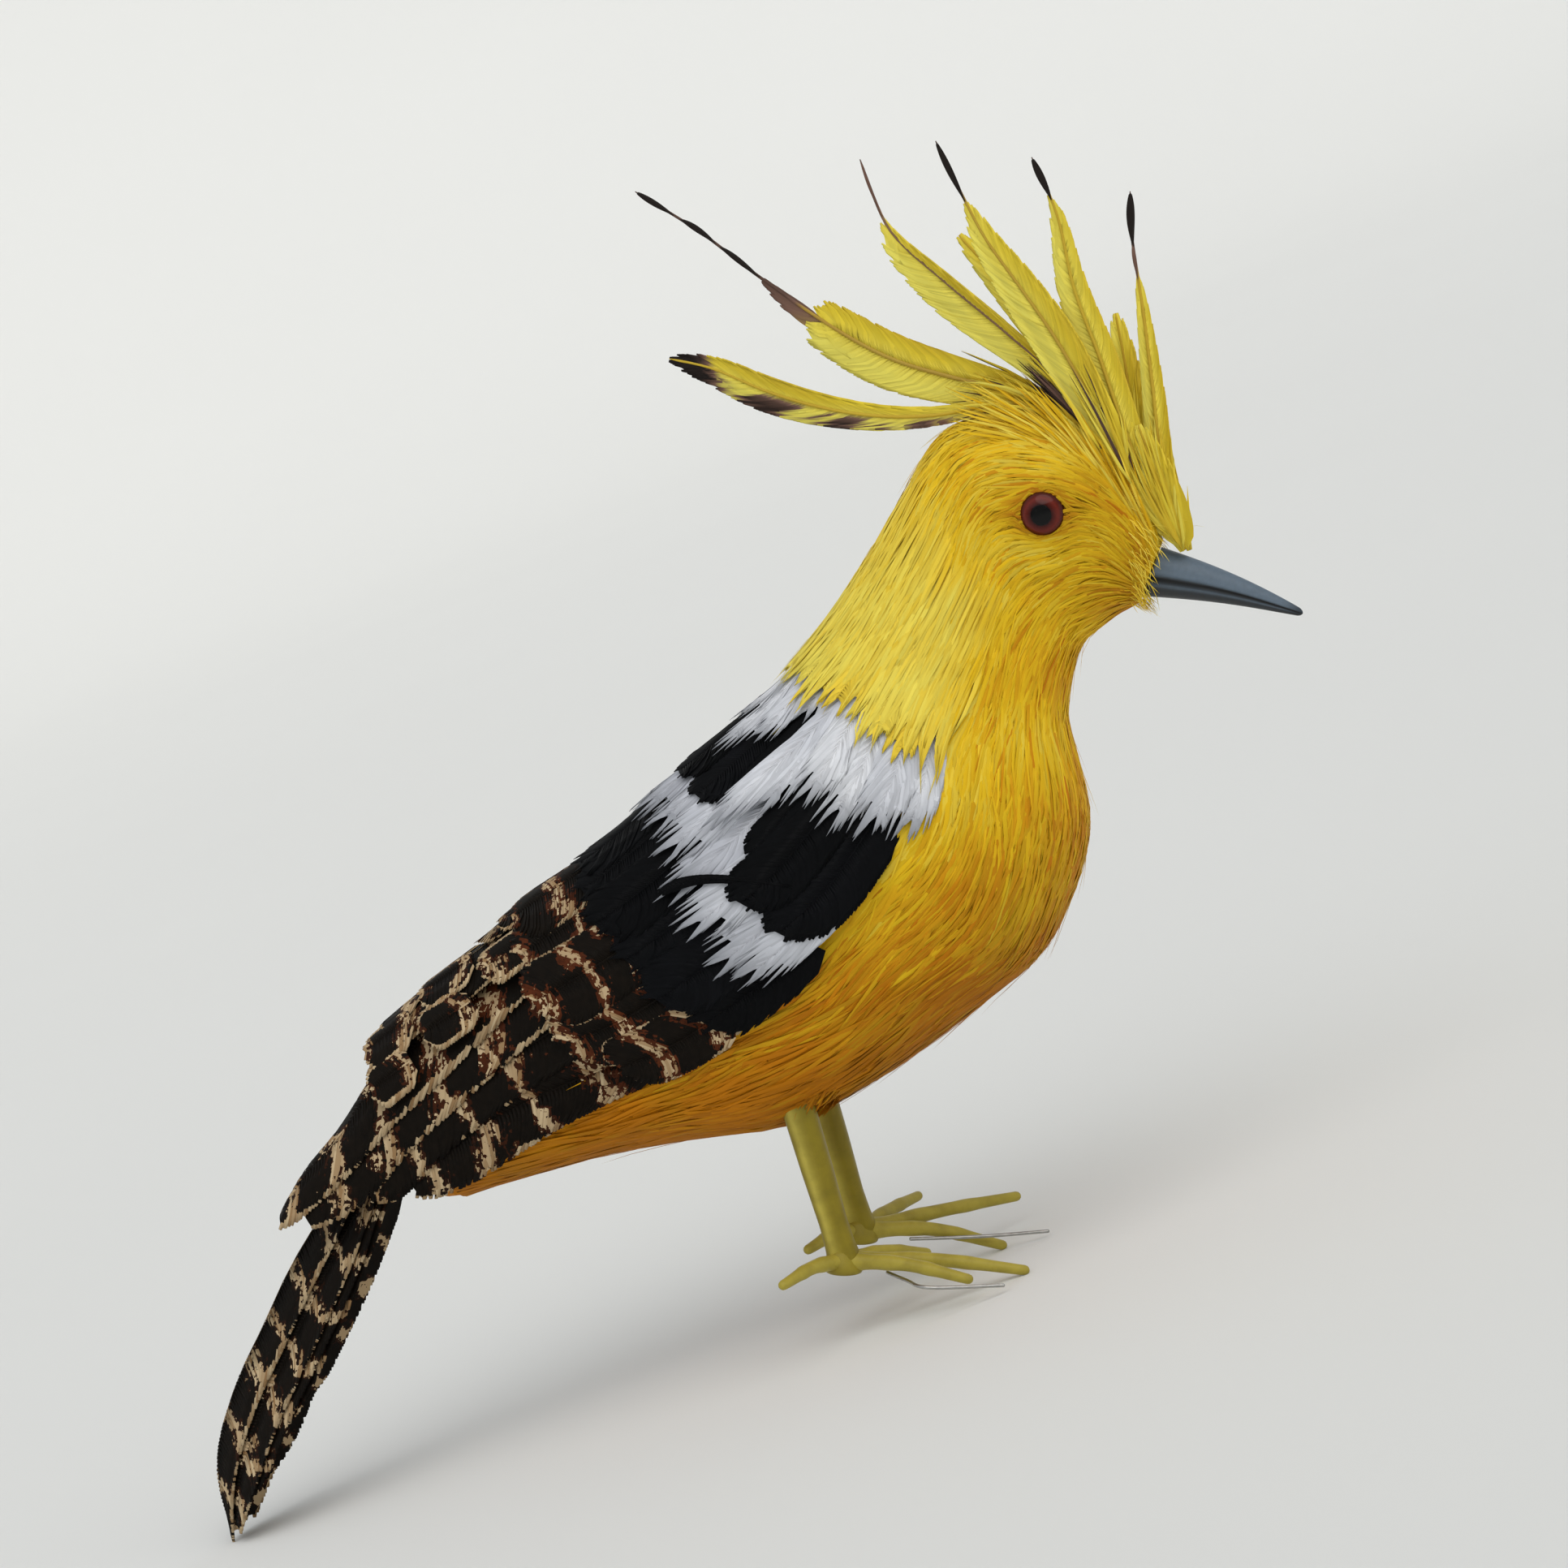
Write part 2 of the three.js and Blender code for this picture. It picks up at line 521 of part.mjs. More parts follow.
// A crest feather: a quill with a vane along part of it, in a plane that faces sideways
function crestFeather({ path, sideways, vane }) {
  const curve = new THREE.CatmullRomCurve3(
    path.map(([x, z], i) => spot(x, z, THREE.MathUtils.lerp(...sideways, i / (path.length - 1)))),
  );
  const [start, end, behind, before] = vane;
  const bare = QUILL_THICKNESS / 2;
  const face = (facing) => (u, v) => {
    const along = curve.getTangentAt(v);
    const across = new THREE.Vector3().crossVectors(leftward, along).normalize();
    const inVane = THREE.MathUtils.clamp((v - start) / (end - start), 0, 1);
    const swell = Math.sin(Math.PI * inVane ** 0.8) ** 0.7;
    const offset = u === 0.5 ? 0 : (u < 0.5 ? -1 : 1) * Math.max(bare, (u < 0.5 ? before : behind) * swell);
    const quill = QUILL_THICKNESS * (1 - 0.45 * v);
    const thickness = u === 0.5 ? quill : Math.min(VANE_THICKNESS, quill);
    return curve
      .getPointAt(v)
      .addScaledVector(across, offset)
      .addScaledVector(leftward, (facing * thickness) / 2);
  };
  return sheet(2, 14, face(1), face(-1));
}

// Legs: shank, foot pad and toes moulded as one
const foremostToe = RIGHT_TOES[0].length * Math.cos(RIGHT_TOES[0].turn * radians);

function toe({ turn, length, rise, onPlane }, ankle, pitch) {
  const ahead = new THREE.Vector3(Math.cos(turn * radians), Math.sin(turn * radians), 0);
  const tip = ankle.clone().addScaledVector(ahead, length);
  const drop = onPlane ? (foremostToe - tip.x) * Math.tan(pitch) : 0;
  tip.z = TOE_TIP_DIAMETER / 2 + rise - drop;
  const middle = ankle.clone().addScaledVector(ahead, length * 0.5);
  middle.z = TOE_DIAMETER / 2 + TOE_ARCH + (rise - drop) * 0.3;
  const start = ankle.clone().setZ(TOE_DIAMETER / 2 + TOE_ARCH / 2);
  const radius = (t) => THREE.MathUtils.lerp(TOE_DIAMETER, TOE_TIP_DIAMETER, t ** 1.5) / 2;
  return roundTube([start, middle, tip], radius, 5, 8);
}

function leg(side, toes, pitch) {
  const ankle = new THREE.Vector3(0, (side * LEG_SPREAD) / 2, 0);
  const pad = new THREE.CylinderGeometry(FOOT_PAD_DIAMETER * 0.44, FOOT_PAD_DIAMETER / 2, FOOT_PAD_HEIGHT, 12);
  pad.rotateX(Math.PI / 2);
  pad.translate(ankle.x, ankle.y, FOOT_PAD_HEIGHT / 2);
  const pieces = [shankRod(side, 0), ...toes.map((one) => toe(one, ankle, pitch))];
  return toGeometry(pieces.reduce((solid, piece) => solid.add(toSolid(piece)), toSolid(pad)));
}

const footWire = (side, line) =>
  roundTube(
    line.map(([x, y, z]) => new THREE.Vector3(x, (side * LEG_SPREAD) / 2 + y, z)),
    () => FOOT_WIRE_DIAMETER / 2,
    10,
    6,
  );

// The pitch at which the right foot and the tail tip touch one level table
function levelPitch(foot, tail) {
  const lowest = (geometry, pitch) => {
    const { array } = geometry.getAttribute("position");
    let low = Infinity;
    for (let i = 0; i < array.length; i += 3)
      low = Math.min(low, array[i + 2] * Math.cos(pitch) - array[i] * Math.sin(pitch));
    return low;
  };
  let [flat, steep] = [0, Math.PI / 3];
  while (steep - flat > 1e-7) {
    const pitch = (flat + steep) / 2;
    if (lowest(foot, pitch) < lowest(tail, pitch)) steep = pitch;
    else flat = pitch;
  }
  return flat;
}

const ridgeFeather = tailRidgeFeather();
const standPitch = levelPitch(leg(-1, RIGHT_TOES, 0), ridgeFeather);

// The bird
const bird = new THREE.Group();
bird.add(named("body", bodyFoam(), plumageYellow));
bird.add(named("beak", beakSolid(), slateBeak));

for (const [name, side, toes, wire] of [
  ["right", -1, RIGHT_TOES, RIGHT_WIRE],
  ["left", 1, LEFT_TOES, LEFT_WIRE],
]) {
  bird.add(named(`eye_${name}`, eyeBall(side, 0), redBrownEye));
  bird.add(named(`leg_${name}`, leg(side, toes, standPitch), olivePlastic));
  bird.add(named(`foot_wire_${name}`, footWire(side, wire), wireSteel));
  WING_FEATHERS.forEach((feather, order) => {
    bird.add(named(`wing_feather_${name}_${order + 1}`, wingFeather(feather, order, side), barredBrown));
  });
  TAIL_FEATHER_TIPS.forEach((_, order) => {
    bird.add(named(`tail_feather_${name}_${order + 1}`, tailSideFeather(order, side), barredBrown));
  });
}
bird.add(named("tail_feather_ridge", ridgeFeather, barredBrown));

FEATHER_ROWS.forEach((row, order) => {
  bird.add(named(row.name, featherRow(row, order), finish(row.colour, 0.75)));
});
RUMP_FEATHERS.forEach((feather, k) => {
  bird.add(named(`rump_feather_${k + 1}`, rumpFeather(feather, FEATHER_ROWS.length + k), barredBrown));
});
CREST_FEATHERS.forEach((feather, k) => {
  bird.add(named(`crest_feather_${k + 1}`, crestFeather(feather), crestYellow));
});

// Stand: pitched on toes and tail, over the origin
const hoopoe = new THREE.Group();
bird.rotation.y = standPitch;
hoopoe.add(bird);
const box = new THREE.Box3().setFromObject(hoopoe, true);
const middle = box.getCenter(new THREE.Vector3());
bird.position.set(-middle.x, -middle.y, -box.min.z);

export default hoopoe;
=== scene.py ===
"""Looks of a craft hoopoe: a foam bird dressed in dyed feathers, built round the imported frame.

Shapes are worked out in the bird's perch frame in millimetres: X towards the beak, Y to the bird's
left, soles at z = 0. They are then put into the row frame, where the bird is pitched onto its toes
and the tip of its tail. A place on the body is a station (from the beak to the wing tips), an
angle from the ridge of the back (left is positive) and a lift off the foam.
"""

import logging
import math
from dataclasses import dataclass, field, replace
from enum import Enum
from functools import partial
from typing import Any, Callable, Sequence

import bpy
import numpy as np
from mathutils import Matrix, Vector


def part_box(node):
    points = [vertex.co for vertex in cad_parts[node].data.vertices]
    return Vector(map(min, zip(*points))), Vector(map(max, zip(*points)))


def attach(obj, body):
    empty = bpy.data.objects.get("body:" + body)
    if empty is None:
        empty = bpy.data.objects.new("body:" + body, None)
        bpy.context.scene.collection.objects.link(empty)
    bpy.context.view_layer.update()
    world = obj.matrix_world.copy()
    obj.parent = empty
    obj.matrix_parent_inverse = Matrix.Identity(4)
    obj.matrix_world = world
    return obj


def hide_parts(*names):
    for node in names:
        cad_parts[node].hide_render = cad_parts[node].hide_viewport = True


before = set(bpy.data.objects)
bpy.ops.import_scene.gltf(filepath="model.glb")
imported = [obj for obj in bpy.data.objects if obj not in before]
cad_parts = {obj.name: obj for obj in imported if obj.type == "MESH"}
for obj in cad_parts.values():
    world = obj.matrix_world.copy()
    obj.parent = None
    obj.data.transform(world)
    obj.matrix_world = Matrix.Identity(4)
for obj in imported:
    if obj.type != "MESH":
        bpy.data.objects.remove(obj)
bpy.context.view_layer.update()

Array = np.ndarray
Rng = np.random.Generator
Points = Sequence[Sequence[float]]
Place = Callable[[Array, Array, Array], tuple[Array, Array]]
Channel = float | Array | Callable[[Array, Array], Array]
Socket = bpy.types.NodeSocket
AddNode = Callable[..., Socket]
Surface = tuple[Socket, Socket | None]

log = logging.getLogger("hoopoe")

SEED = 20
MM = 0.001
PERCENT = 3.0  # millimetres in one per cent of the bird's length
LEFTWARD = np.array([0.0, 1.0, 0.0])
CHANNELS = ("across", "along", "tone", "tint", "soot")
SIDES = ((-1, "right"), (1, "left"))


def unit(vectors: Array) -> Array:
    """Scales vectors to length one.

    Args:
        vectors: Array whose last axis holds x, y, z.

    Returns:
        Array of the same shape.
    """
    return vectors / np.maximum(np.linalg.norm(vectors, axis=-1, keepdims=True), 1e-9)


def smooth_step(low: float, high: float, value: Array) -> Array:
    """Rises from 0 at low to 1 at high along 3t^2 - 2t^3."""
    t = np.clip((value - low) / (high - low), 0, 1)
    return t * t * (3 - 2 * t)


def linear_colour(code: str) -> tuple[float, float, float, float]:
    """Turns an sRGB hex value into linear red, green, blue and alpha.

    Args:
        code: Six hex digits.

    Returns:
        Four numbers from 0 to 1.
    """
    shares = [int(code[i : i + 2], 16) / 255 for i in (0, 2, 4)]
    lit = [s / 12.92 if s <= 0.04045 else ((s + 0.055) / 1.055) ** 2.4 for s in shares]
    return (lit[0], lit[1], lit[2], 1.0)


def stations_line(table: Array, at: Array) -> Array:
    """Uniform Catmull-Rom curve through the rows of a table.

    Each span blends its two rows and their neighbours with the usual cubic weights; beyond the
    ends the table goes on in a straight line.

    Args:
        table: Rows of values, one per station.
        at: Stations, any shape.

    Returns:
        Values with the shape of `at` and one more axis.
    """
    rows = np.vstack([2 * table[0] - table[1], table, 2 * table[-1] - table[-2]])
    last = len(table) - 1
    at = np.clip(np.asarray(at, float), 0, last)
    index = np.minimum(at.astype(int), last - 1)
    f = (at - index)[..., None]
    a, b, c, d = (rows[index + k] for k in range(4))
    return 0.5 * (2 * b + (c - a) * f + (2 * a - 5 * b + 4 * c - d) * f**2 + (3 * b - 3 * c + d - a) * f**3)


def smooth_line(points: Sequence[Sequence[float]], at: Array) -> tuple[Array, Array]:
    """Centripetal Catmull-Rom curve through points, read by share of its length.

    The knots are spaced by the square root of the chord lengths. The curve is sampled finely, its
    length is summed, and places and directions are read off at the asked shares.

    Args:
        points: The points it passes through.
        at: Shares of the length, from 0 to 1, any shape.

    Returns:
        Places and unit directions, each with the shape of `at` and one more axis.
    """
    p = np.asarray(points, float)
    p = np.vstack([2 * p[0] - p[1], p, 2 * p[-1] - p[-2]])
    knots = np.concatenate([[0], np.cumsum(np.linalg.norm(np.diff(p, axis=0), axis=1) ** 0.5)])
    t = np.linspace(0, 1, 25)[:, None]
    fine = []
    for s in range(len(p) - 3):
        k0, k1, k2, k3 = knots[s : s + 4]
        x = k1 + (k2 - k1) * t
        a1 = (k1 - x) / (k1 - k0) * p[s] + (x - k0) / (k1 - k0) * p[s + 1]
        a2 = (k2 - x) / (k2 - k1) * p[s + 1] + (x - k1) / (k2 - k1) * p[s + 2]
        a3 = (k3 - x) / (k3 - k2) * p[s + 2] + (x - k2) / (k3 - k2) * p[s + 3]
        b1 = (k2 - x) / (k2 - k0) * a1 + (x - k0) / (k2 - k0) * a2
        b2 = (k3 - x) / (k3 - k1) * a2 + (x - k1) / (k3 - k1) * a3
        fine.append(((k2 - x) / (k2 - k1) * b1 + (x - k1) / (k2 - k1) * b2)[:-1])
    line = np.vstack([*fine, p[-2][None]])
    length = np.concatenate([[0], np.cumsum(np.linalg.norm(np.diff(line, axis=0), axis=1))])
    share = length / length[-1]
    directions = unit(np.gradient(line, length, axis=0))
    place = np.stack([np.interp(at, share, line[:, k]) for k in range(3)], -1)
    return place, unit(np.stack([np.interp(at, share, directions[:, k]) for k in range(3)], -1))


def line_length(points: Sequence[Sequence[float]]) -> float:
    """Sum of the straight stretches between points."""
    return float(np.linalg.norm(np.diff(np.array(points), axis=0), axis=1).sum())


def round_angles(count: int) -> Array:
    """Radians of so many points evenly round a circle."""
    return np.linspace(0, 2 * np.pi, count + 1)[:-1]


class PerchFrame:
    """The perch frame's pitch and place in the row frame, read from the eyes and the beak's tip."""

    EYES = np.array([41.4, 164.7])
    BEAK_TIP = np.array([94.25, 142.73])
    TIP_SPREAD = 0.0015

    def __init__(self) -> None:
        """Measures the middle of the two eyes and of the beak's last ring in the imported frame."""
        corners = [corner for name in ("eye_right", "eye_left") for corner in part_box(name)]
        eyes = np.mean([np.array(c) for c in corners], axis=0)
        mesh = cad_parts["beak"].data
        raw = np.empty(len(mesh.vertices) * 3, np.float32)
        mesh.vertices.foreach_get("co", raw)
        points = np.unique(np.round(raw.reshape(-1, 3).astype(float), 6), axis=0)
        farthest = points[np.argmax(np.linalg.norm(points - eyes, axis=1))]
        tip = points[np.linalg.norm(points - farthest, axis=1) < self.TIP_SPREAD].mean(axis=0)
        flat = self.BEAK_TIP - self.EYES
        pitched = (tip - eyes)[[0, 2]]
        self.pitch = math.atan2(flat[1], flat[0]) - math.atan2(pitched[1], pitched[0])
        c, s = math.cos(self.pitch), math.sin(self.pitch)
        self.turn = np.array([[c, 0, s], [0, 1, 0], [-s, 0, c]])
        self.shift = eyes - self.turn @ np.array([self.EYES[0], 0, self.EYES[1]]) * MM

    def to_row(self, points: Array) -> Array:
        """Perch frame in millimetres to row frame in metres."""
        return points @ self.turn.T * MM + self.shift


@dataclass(frozen=True)
class FeatherRow:
    """A row of feathers round the back: station of its tips on the ridge and at its lower edge."""

    node: str
    ridge: float
    edge: float


# Back x, z; breast x, z; half width; depth of the feather cover, in per cent of the length.
STATIONS = (
    (21.6, 52.4, 20.1, 48.1, 2.1, 0), (19.5, 55.6, 19.7, 47.9, 3.6, 0),
    (16.6, 59.0, 19.1, 47.6, 4.7, 0), (13.5, 60.6, 18.3, 47.2, 5.3, 0),
    (10.0, 60.8, 17.5, 46.5, 5.6, 0), (6.7, 59.9, 16.6, 45.8, 5.7, 0),
    (4.6, 57.4, 16.0, 45.1, 5.7, 0.1), (3.0, 54.0, 15.5, 43.9, 5.8, 0.25),
    (0.8, 50.0, 15.2, 42.0, 6.2, 0.4), (-1.8, 46.1, 15.0, 39.7, 7.1, 0.6),
    (-5.3, 42.1, 15.7, 37.1, 8.8, 0.9), (-7.6, 40.1, 16.6, 33.1, 10.1, 1.1),
    (-9.7, 38.3, 16.3, 29.6, 10.8, 1.2), (-11.7, 36.4, 15.1, 26.1, 11.1, 1.4),
    (-13.8, 34.4, 13.3, 22.8, 11.1, 1.8), (-16.0, 32.2, 10.1, 19.9, 10.9, 2.1),
    (-18.5, 29.8, 5.8, 16.3, 10.5, 2.1), (-21.2, 27.6, 0.9, 12.8, 9.8, 2.1),
    (-24.0, 25.3, -4.4, 9.9, 9.0, 2.1), (-27.0, 22.4, -10.6, 8.7, 8.0, 2.1),
    (-30.2, 19.4, -17.2, 7.2, 7.0, 2.0), (-33.2, 16.3, -23.2, 5.3, 6.1, 1.8),
    (-35.5, 13.2, -28.0, 3.6, 5.3, 1.4), (-37.7, 9.0, -31.9, 2.0, 4.6, 1.0),
    (-40.3, 5.3, -36.0, -0.3, 4.1, 0.8), (-42.3, 1.7, -38.7, -2.0, 3.7, 0.8),
)


@dataclass
class BodyShape:
    """The foam body: elliptic sections between a back line and a breast line.

    Stations hold back x, z; breast x, z; half width; depth of the feather cover, in per cent of
    the bird's length.
    """

    stations: Array = field(default_factory=lambda: PERCENT * np.array(STATIONS))
    rows: tuple[FeatherRow, ...] = (
        FeatherRow("mantle_feathers", 10.0, 11.5),
        FeatherRow("white_back_feathers_front", 11.5, 13.8),
        FeatherRow("black_back_feathers_front", 13.3, 15.6),
        FeatherRow("white_back_feathers_rear", 14.7, 16.8),
        FeatherRow("black_back_feathers_rear", 16.3, 17.9),
        FeatherRow("barred_wing_coverts", 17.6, 19.1),
    )
    rump_tips: tuple[float, ...] = (19.1, 20.3, 21.6)
    row_length: float = 3.2
    row_reach: float = 100.0
    feather_layer: float = 1.1
    skin_gap: float = 0.5
    wing_layer_height: float = 2.9

    def on(self, station: Array, degrees: Array, lift: Array) -> tuple[Array, Array]:
        """A place on the body and the outward normal there.

        The place is the section's centre, plus the half depth times the cosine of the angle
        along the section's upright, plus the half width times its sine to the left, plus the
        lift along the normal; the back is sunk by the depth of the feather cover.

        Args:
            station: Stations.
            degrees: Angles from the ridge, left positive.
            lift: Millimetres off the foam.

        Returns:
            Places and unit normals.
        """
        station, degrees, lift = np.broadcast_arrays(station, degrees, lift)
        s = stations_line(self.stations, station)
        zero = np.zeros_like(s[..., 0])
        back = np.stack([s[..., 0], zero, s[..., 1]], -1)
        breast = np.stack([s[..., 2], zero, s[..., 3]], -1)
        upright = unit(back - breast)
        half_depth = np.linalg.norm(back - breast, axis=-1) / 2
        half_width = s[..., 4]
        angle = np.radians(degrees)
        cos, sin = np.cos(angle), np.sin(angle)
        normal = unit(upright * (cos / half_depth)[..., None] + LEFTWARD * (sin / half_width)[..., None])
        sunk = s[..., 5] * (1 - smooth_step(98, 138, np.abs(degrees)))
        place = (back + breast) / 2 + upright * (half_depth * cos)[..., None]
        place = place + LEFTWARD * (half_width * sin)[..., None] + normal * (lift - sunk)[..., None]
        return place, normal

    def face(self) -> tuple[Array, Array]:
        """Top and bottom of the foremost section, and the direction ahead of it."""
        ends, _ = self.on(np.zeros(2), np.array([0.0, 180.0]), 0.0)
        return ends, unit(np.cross(LEFTWARD, unit(ends[0] - ends[1])))

    def steps(self, station: Array, degrees: Array) -> tuple[Array, Array]:
        """Millimetres that one station and one degree cover at a place, by small differences.

        Args:
            station: Stations.
            degrees: Angles from the ridge.

        Returns:
            Millimetres per station and per degree.
        """
        here = self.on(station, degrees, 0.0)[0]
        onwards = self.on(np.asarray(station) + 0.05, degrees, 0.0)[0]
        round_it = self.on(station, np.asarray(degrees) + 0.5, 0.0)[0]
        return np.linalg.norm(onwards - here, axis=-1) / 0.05, np.linalg.norm(round_it - here, axis=-1) / 0.5

    def layer_count(self, station: Array, degrees: Array) -> Array:
        """How many root lines of the rows lie in front of a place, rising evenly between them.

        Args:
            station: Stations.
            degrees: Angles from the ridge.

        Returns:
            The count.
        """
        station, degrees = np.broadcast_arrays(station, degrees)
        share = np.minimum(np.abs(degrees) / self.row_reach, 1.2) ** 1.3
        last = self.rows[-1]
        roots = [r.ridge + (r.edge - r.ridge) * share - self.row_length for r in self.rows]
        roots += [roots[len(self.rows) - 1] + tip - last.ridge for tip in self.rump_tips]
        lines = np.stack(roots)
        k = np.clip((lines <= station).sum(axis=0), 1, len(roots) - 1)
        low = np.take_along_axis(lines, (k - 1)[None], 0)[0]
        high = np.take_along_axis(lines, k[None], 0)[0]
        return k - 1 + (station - low) / np.maximum(high - low, 0.3)

    def row_lift(self, order: int, station: Array, degrees: Array) -> Array:
        """Lift of a row: one feather layer per root line passed since its own, over the wings.

        Args:
            order: The row's place from the neck.
            station: Stations.
            degrees: Angles from the ridge.

        Returns:
            Millimetres.
        """
        layers = self.layer_count(station, degrees) - order
        wing = self.wing_layer_height * smooth_step(12, 15, station)
        return self.skin_gap + self.feather_layer * layers + wing


class PieceMesh:
    """Gathers the closed parts of one piece and writes them as one Blender mesh.

    Every part brings its vertices, quads and triangles, a place for each face corner in a unit
    square, and the five channels that the materials read. The parts share the bake map in bands.
    """

    def __init__(self, perch: PerchFrame) -> None:
        """Starts an empty piece in the given perch frame."""
        self.perch = perch
        self.vertices: list[Array] = []
        self.faces: list[Array] = []
        self.corners: list[Array] = []
        self.weights: list[float] = []
        self.creases: list[Array] = []
        self.channels: dict[str, list[Array]] = {name: [] for name in CHANNELS}
        self.count = 0

    def add(
        self,
        points: Array,
        faces: Array,
        corners: Array,
        weight: float,
        channels: dict[str, Channel],
        crease: Array | None = None,
    ) -> None:
        """Adds a part.

        Args:
            points: Vertices (n, 3) in the perch frame.
            faces: Quads (m, 4); a triangle repeats its last vertex.
            corners: Bake places (m, 4, 2) in a unit square.
            weight: Surface that the part asks for in the bake map.
            channels: Values per vertex, by channel name.
            crease: A number per vertex; an edge between two equal numbers above 0 is shaded sharp.
        """
        self.creases.append(np.zeros(len(points), int) if crease is None else crease)
        self.vertices.append(points)
        self.faces.append(faces + self.count)
        self.corners.append(corners)
        self.weights.append(weight)
        for name in CHANNELS:
            values = np.broadcast_to(channels.get(name, 0.0), (len(points),))
            self.channels[name].append(np.asarray(values, float))
        self.count += len(points)

    def add_blades(
        self, line: Array, normal: Array, half_width: Array, height: Array, **channels: Channel
    ) -> None:
        """Adds thin closed blades: each is a three-sided prism along a line of points.

        A ring is the line's point moved by the half width to either side, and by the height
        along the normal. Side faces join ring to ring, and a triangle closes each end.

        Args:
            line: Points (n, k, 3).
            normal: Outward directions (n, k, 3).
            half_width: Millimetres, broadcast to (n, k).
            height: Millimetres, broadcast to (n, k).
            channels: Values broadcast to (n, k).
        """
        n, k, _ = line.shape
        across = unit(np.cross(normal, np.gradient(line, axis=1)))
        half = np.broadcast_to(half_width, (n, k))[..., None]
        tall = np.broadcast_to(height, (n, k))[..., None]
        rings = np.stack([line - across * half, line + normal * tall, line + across * half], axis=2)
        base = (np.arange(n)[:, None] * k + np.arange(k - 1)[None]) * 3
        sides = np.array([[0, 3, 4, 1], [1, 4, 5, 2], [2, 5, 3, 0]])
        quads = (base[..., None, None] + sides).reshape(-1, 4)
        first = np.arange(n)[:, None] * k * 3
        last = first + (k - 1) * 3
        ends = np.vstack([first + [0, 1, 2, 2], last + [0, 2, 1, 1]])
        columns = math.ceil(math.sqrt(n * 3))
        cell_rows = math.ceil(n / columns)
        column, row = np.arange(n) % columns, np.arange(n) // columns
        u = np.array([[0, 0, 0.4, 0.4], [0.4, 0.4, 0.8, 0.8], [0.8, 0.8, 0.9, 0.9]])
        v = (np.arange(k - 1)[:, None] + np.array([0, 1, 1, 0])) / (k - 1)
        corner_u = np.broadcast_to(u, (n, k - 1, 3, 4))
        corner_v = np.broadcast_to(v[None, :, None, :], (n, k - 1, 3, 4))
        place_u = (column[:, None, None, None] + corner_u) / columns
        place_v = (row[:, None, None, None] + 0.95 * corner_v) / cell_rows
        places = np.stack([place_u, place_v], -1).reshape(-1, 4, 2)
        end_places = np.stack([column / columns, row / cell_rows], -1)[:, None] + np.zeros((n, 4, 2))
        corners = np.vstack([places, end_places, end_places])
        spread = {name: np.repeat(np.broadcast_to(v, (n, k)).ravel(), 3) for name, v in channels.items()}
        area = float((2 * half[:, 1:, 0] * np.linalg.norm(np.diff(line, axis=1), axis=-1)).sum())
        crease = np.tile([1, 0, 2], n * k)
        self.add(rings.reshape(-1, 3), np.vstack([quads, ends]), corners, area, spread, crease)

    def add_sheet(self, top: Array, normal: Array, thickness: float, **channels: Channel) -> None:
        """Adds a thin closed sheet: a grid of points, the same grid sunk, and a rim between them.

        Args:
            top: Points (r, c, 3) of the outer face.
            normal: Outward directions (r, c, 3).
            thickness: Millimetres.
            channels: Values broadcast to (r, c).
        """
        r, c, _ = top.shape
        points = np.vstack([top.reshape(-1, 3), (top - normal * thickness).reshape(-1, 3)])
        index = np.arange(r * c).reshape(r, c)
        upper = np.stack([index[:-1, :-1], index[:-1, 1:], index[1:, 1:], index[1:, :-1]], -1).reshape(-1, 4)
        lower = upper[:, ::-1] + r * c
        edge = np.concatenate([index[0, :], index[1:, -1], index[-1, -2::-1], index[-2:0:-1, 0]])
        after = np.roll(edge, -1)
        rim = np.stack([after, edge, edge + r * c, after + r * c], -1)
        faces = np.vstack([upper, lower, rim])
        v, u = np.meshgrid(np.linspace(0, 1, r), np.linspace(0, 1, c), indexing="ij")
        flat = np.stack([u.ravel() * 0.49, v.ravel()], -1)
        both = np.vstack([flat, flat + [0.51, 0]])
        both_faces = faces.copy()
        both_faces[-len(rim) :] = np.stack([after, edge, edge, after], -1)
        spread = {name: np.tile(np.broadcast_to(v, (r, c)).ravel(), 2) for name, v in channels.items()}
        area = float(np.linalg.norm(points[upper[:, 0]] - points[upper[:, 2]], axis=1).sum() * 2)
        crease = np.zeros(len(points), int)
        crease[edge], crease[edge + r * c] = 1, 2
        turned = both[self.outwards(points, faces, both_faces)]
        self.add(points, self.outwards(points, faces), turned, area, spread, crease)

    def add_tube(self, rings: Array, weight: float, **channels: Channel) -> None:
        """Adds a closed tube through rings of points, drawn to a pole at each end.

        Args:
            rings: Points (k, m, 3); each ring goes round once.
            weight: Surface that it asks for in the bake map.
            channels: Values broadcast to (k, m).
        """
        k, m, _ = rings.shape
        poles = np.stack([rings[0].mean(axis=0), rings[-1].mean(axis=0)])
        points = np.vstack([rings.reshape(-1, 3), poles])
        side = np.arange(m)
        following = (side + 1) % m
        step = np.arange(k - 1)[:, None] * m
        body = np.stack([step + side, step + following, step + m + following, step + m + side], -1)
        start = np.stack([np.full(m, k * m), following, side, side], -1)
        last = following + (k - 1) * m
        stop = np.stack([np.full(m, k * m + 1), side + (k - 1) * m, last, last], -1)
        faces = np.vstack([body.reshape(-1, 4), start, stop])
        u0, u1 = side / m, (side + 1) / m
        v = np.linspace(0.04, 0.96, k)
        across = np.broadcast_to(np.stack([u0, u1, u1, u0], -1), (k - 1, m, 4))
        upwards = np.broadcast_to(np.stack([v[:-1], v[:-1], v[1:], v[1:]], -1)[:, None], (k - 1, m, 4))
        middle = (u0 + u1) / 2
        low_u, high_u = np.stack([middle, u1, u0, u0], -1), np.stack([middle, u0, u1, u1], -1)
